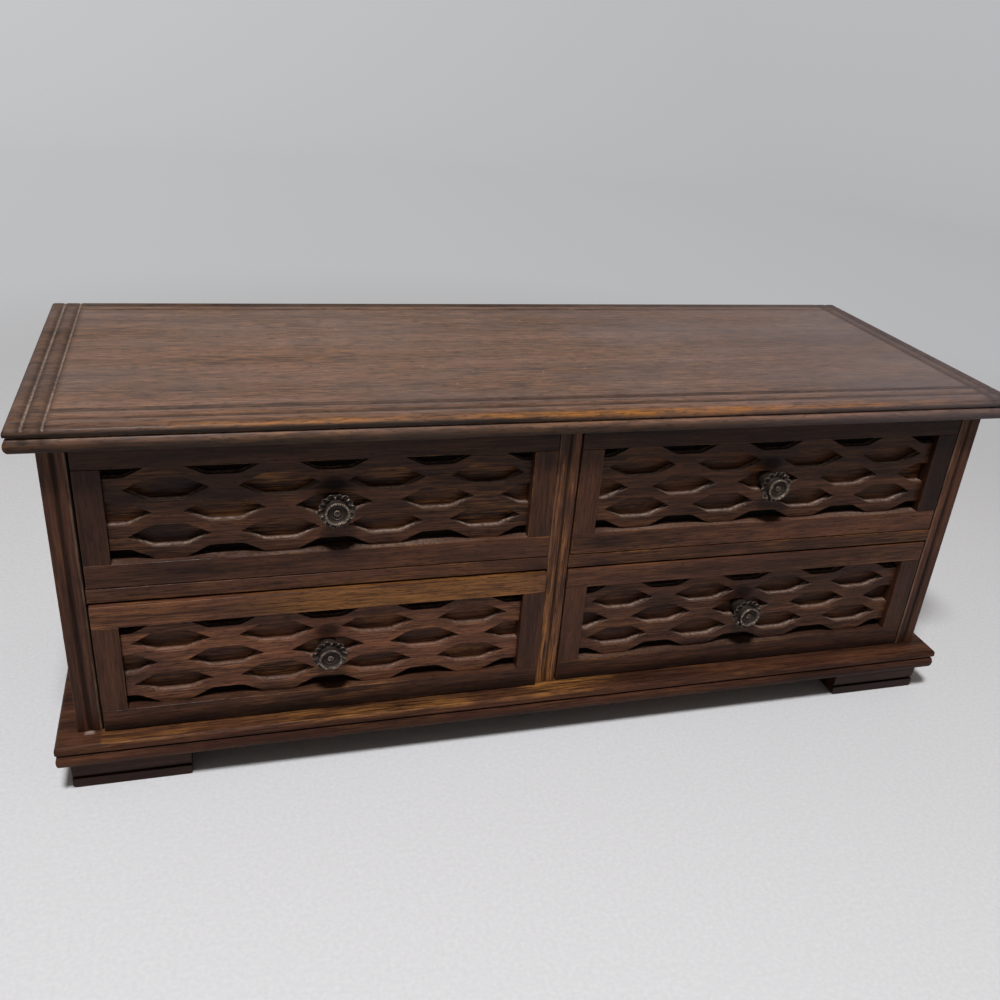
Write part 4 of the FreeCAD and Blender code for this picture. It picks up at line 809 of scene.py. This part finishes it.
def lathe(name, profile, vertices):
    # a ring is drawn out step by step along a profile, as (radius, height) in mm
    deselect()
    first = profile[1]  # a filled ring, so that the step to it from the axis is there too
    bpy.ops.mesh.primitive_circle_add(vertices=vertices, radius=first[0] * mm, fill_type="NGON",
                                      location=(0, 0, first[1] * mm))
    piece = bpy.context.object
    piece.name = name
    bpy.ops.object.transform_apply()
    bpy.ops.object.mode_set(mode="EDIT")
    bpy.ops.mesh.select_all(action="SELECT")
    for before, after in zip(profile[1:-1], profile[2:]):
        grow = max(after[0], 0.02) / before[0]  # an end on the axis keeps a ring too small to see
        bpy.ops.mesh.extrude_region_move(
            TRANSFORM_OT_translate={"value": (0, 0, (after[1] - before[1]) * mm)})
        bpy.ops.transform.resize(value=(grow, grow, 1), center_override=(0, 0, after[1] * mm))
    bpy.ops.mesh.select_all(action="SELECT")
    bpy.ops.mesh.normals_make_consistent(inside=False)
    bpy.ops.object.mode_set(mode="OBJECT")
    return piece


def petalShape(u, v):
    # u runs from root to tip and v across; the petal widens from a narrow root to a round end, and is
    # cupped inside a raised rim that curls over outside
    widest, neck = knob["petalWidest"], knob["petalNeck"]
    end = max(0, (u - widest) / (1 - widest))
    spread = max(0.12, math.sqrt(1 - end * end)) if end else neck + (1 - neck) * u / widest
    reach = knob["petalRoot"] + (knob["petalTip"] - knob["petalRoot"]) * u
    edge = max(abs(v), end)
    rim = knob["petalRim"] * (max(0, edge - knob["petalCup"]) / 0.4 - 3.2 * max(0, edge - knob["petalCurl"]))
    height = knob["petalLow"] + knob["petalArch"] * math.sin(u * 2.2)
    return reach, v * knob["petalHalf"] * spread, height + rim * min(1, 2.5 * u)


def makeKnob():
    core = lathe("knobCore", knobProfile, 48)
    deselect()
    bpy.ops.mesh.primitive_grid_add(x_subdivisions=13, y_subdivisions=10, size=1)
    petal = bpy.context.object
    for corner in petal.data.vertices:
        x, y, z = petalShape(corner.co.x + 0.5, corner.co.y * 2)
        corner.co = (x * mm, y * mm, z * mm)
    solid = petal.modifiers.new("cast", "SOLIDIFY")
    solid.thickness = knob["petalThick"] * mm
    solid.offset = -1
    smooth = petal.modifiers.new("smooth", "SUBSURF")
    smooth.levels = smooth.render_levels = 1
    applyModifiers(petal)
    petals = [petal]
    for i in range(1, knob["petals"]):
        twin = petal.copy()
        twin.data = petal.data.copy()
        bpy.context.scene.collection.objects.link(twin)
        twin.rotation_euler.z = 2 * math.pi * i / knob["petals"] + 0.05 * math.sin(i * 1.7)  # cast unevenly
        twin.scale = [1 - 0.025 * (1 + math.sin(i * 2.4))] * 2 + [1 + 0.08 * math.sin(i * 3.1)]
        petals.append(twin)
    deselect()
    bpy.ops.mesh.primitive_torus_add(major_radius=knob["rope"] * mm, minor_radius=knob["ropeThick"] * mm,
                                     major_segments=170, minor_segments=10,
                                     location=(0, 0, knob["ropeLevel"] * mm))
    rope = bpy.context.object
    bpy.ops.object.transform_apply()
    for corner in rope.data.vertices:  # the ring is nicked all round like a twisted rope
        around = math.atan2(corner.co.y, corner.co.x)
        out = Vector((corner.co.x, corner.co.y, 0)).normalized() * knob["rope"] * mm
        away = corner.co - out - Vector((0, 0, knob["ropeLevel"] * mm))
        roll = math.atan2(away.z, away.dot(out.normalized()))
        swell = 1 + knob["ropeNick"] * math.cos(knob["ropeTwists"] * around + knob["ropeSlant"] * roll)
        corner.co = out + Vector((0, 0, knob["ropeLevel"] * mm)) + away * swell
    deselect()
    for part in petals + [rope, core]:
        part.select_set(True)
    bpy.context.view_layer.objects.active = core
    bpy.ops.object.join()
    bpy.ops.object.shade_smooth_by_angle(angle=math.radians(50))
    core.data.materials.clear()
    core.data.materials.append(antiquePewter())
    return core


firstKnob = makeKnob()
for drawer, turn in knob["turns"].items():
    node = f"drawer_{drawer}_knob"
    piece = firstKnob.copy()
    piece.data = firstKnob.data.copy()
    piece.name = camel(node)
    bpy.context.scene.collection.objects.link(piece)
    pick(piece)
    place = middleOf(node)
    place.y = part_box(node)[0][1] + knob["height"] * mm  # the drawer's face
    piece.matrix_world = (Matrix.Translation(place) @ Matrix.Rotation(math.radians(90), 4, "X")
                          @ Matrix.Rotation(math.radians(turn), 4, "Z"))
    bpy.ops.object.transform_apply(location=True, rotation=True, scale=True)
    claim(piece, node)
bpy.data.objects.remove(firstKnob)
print("knobs made")
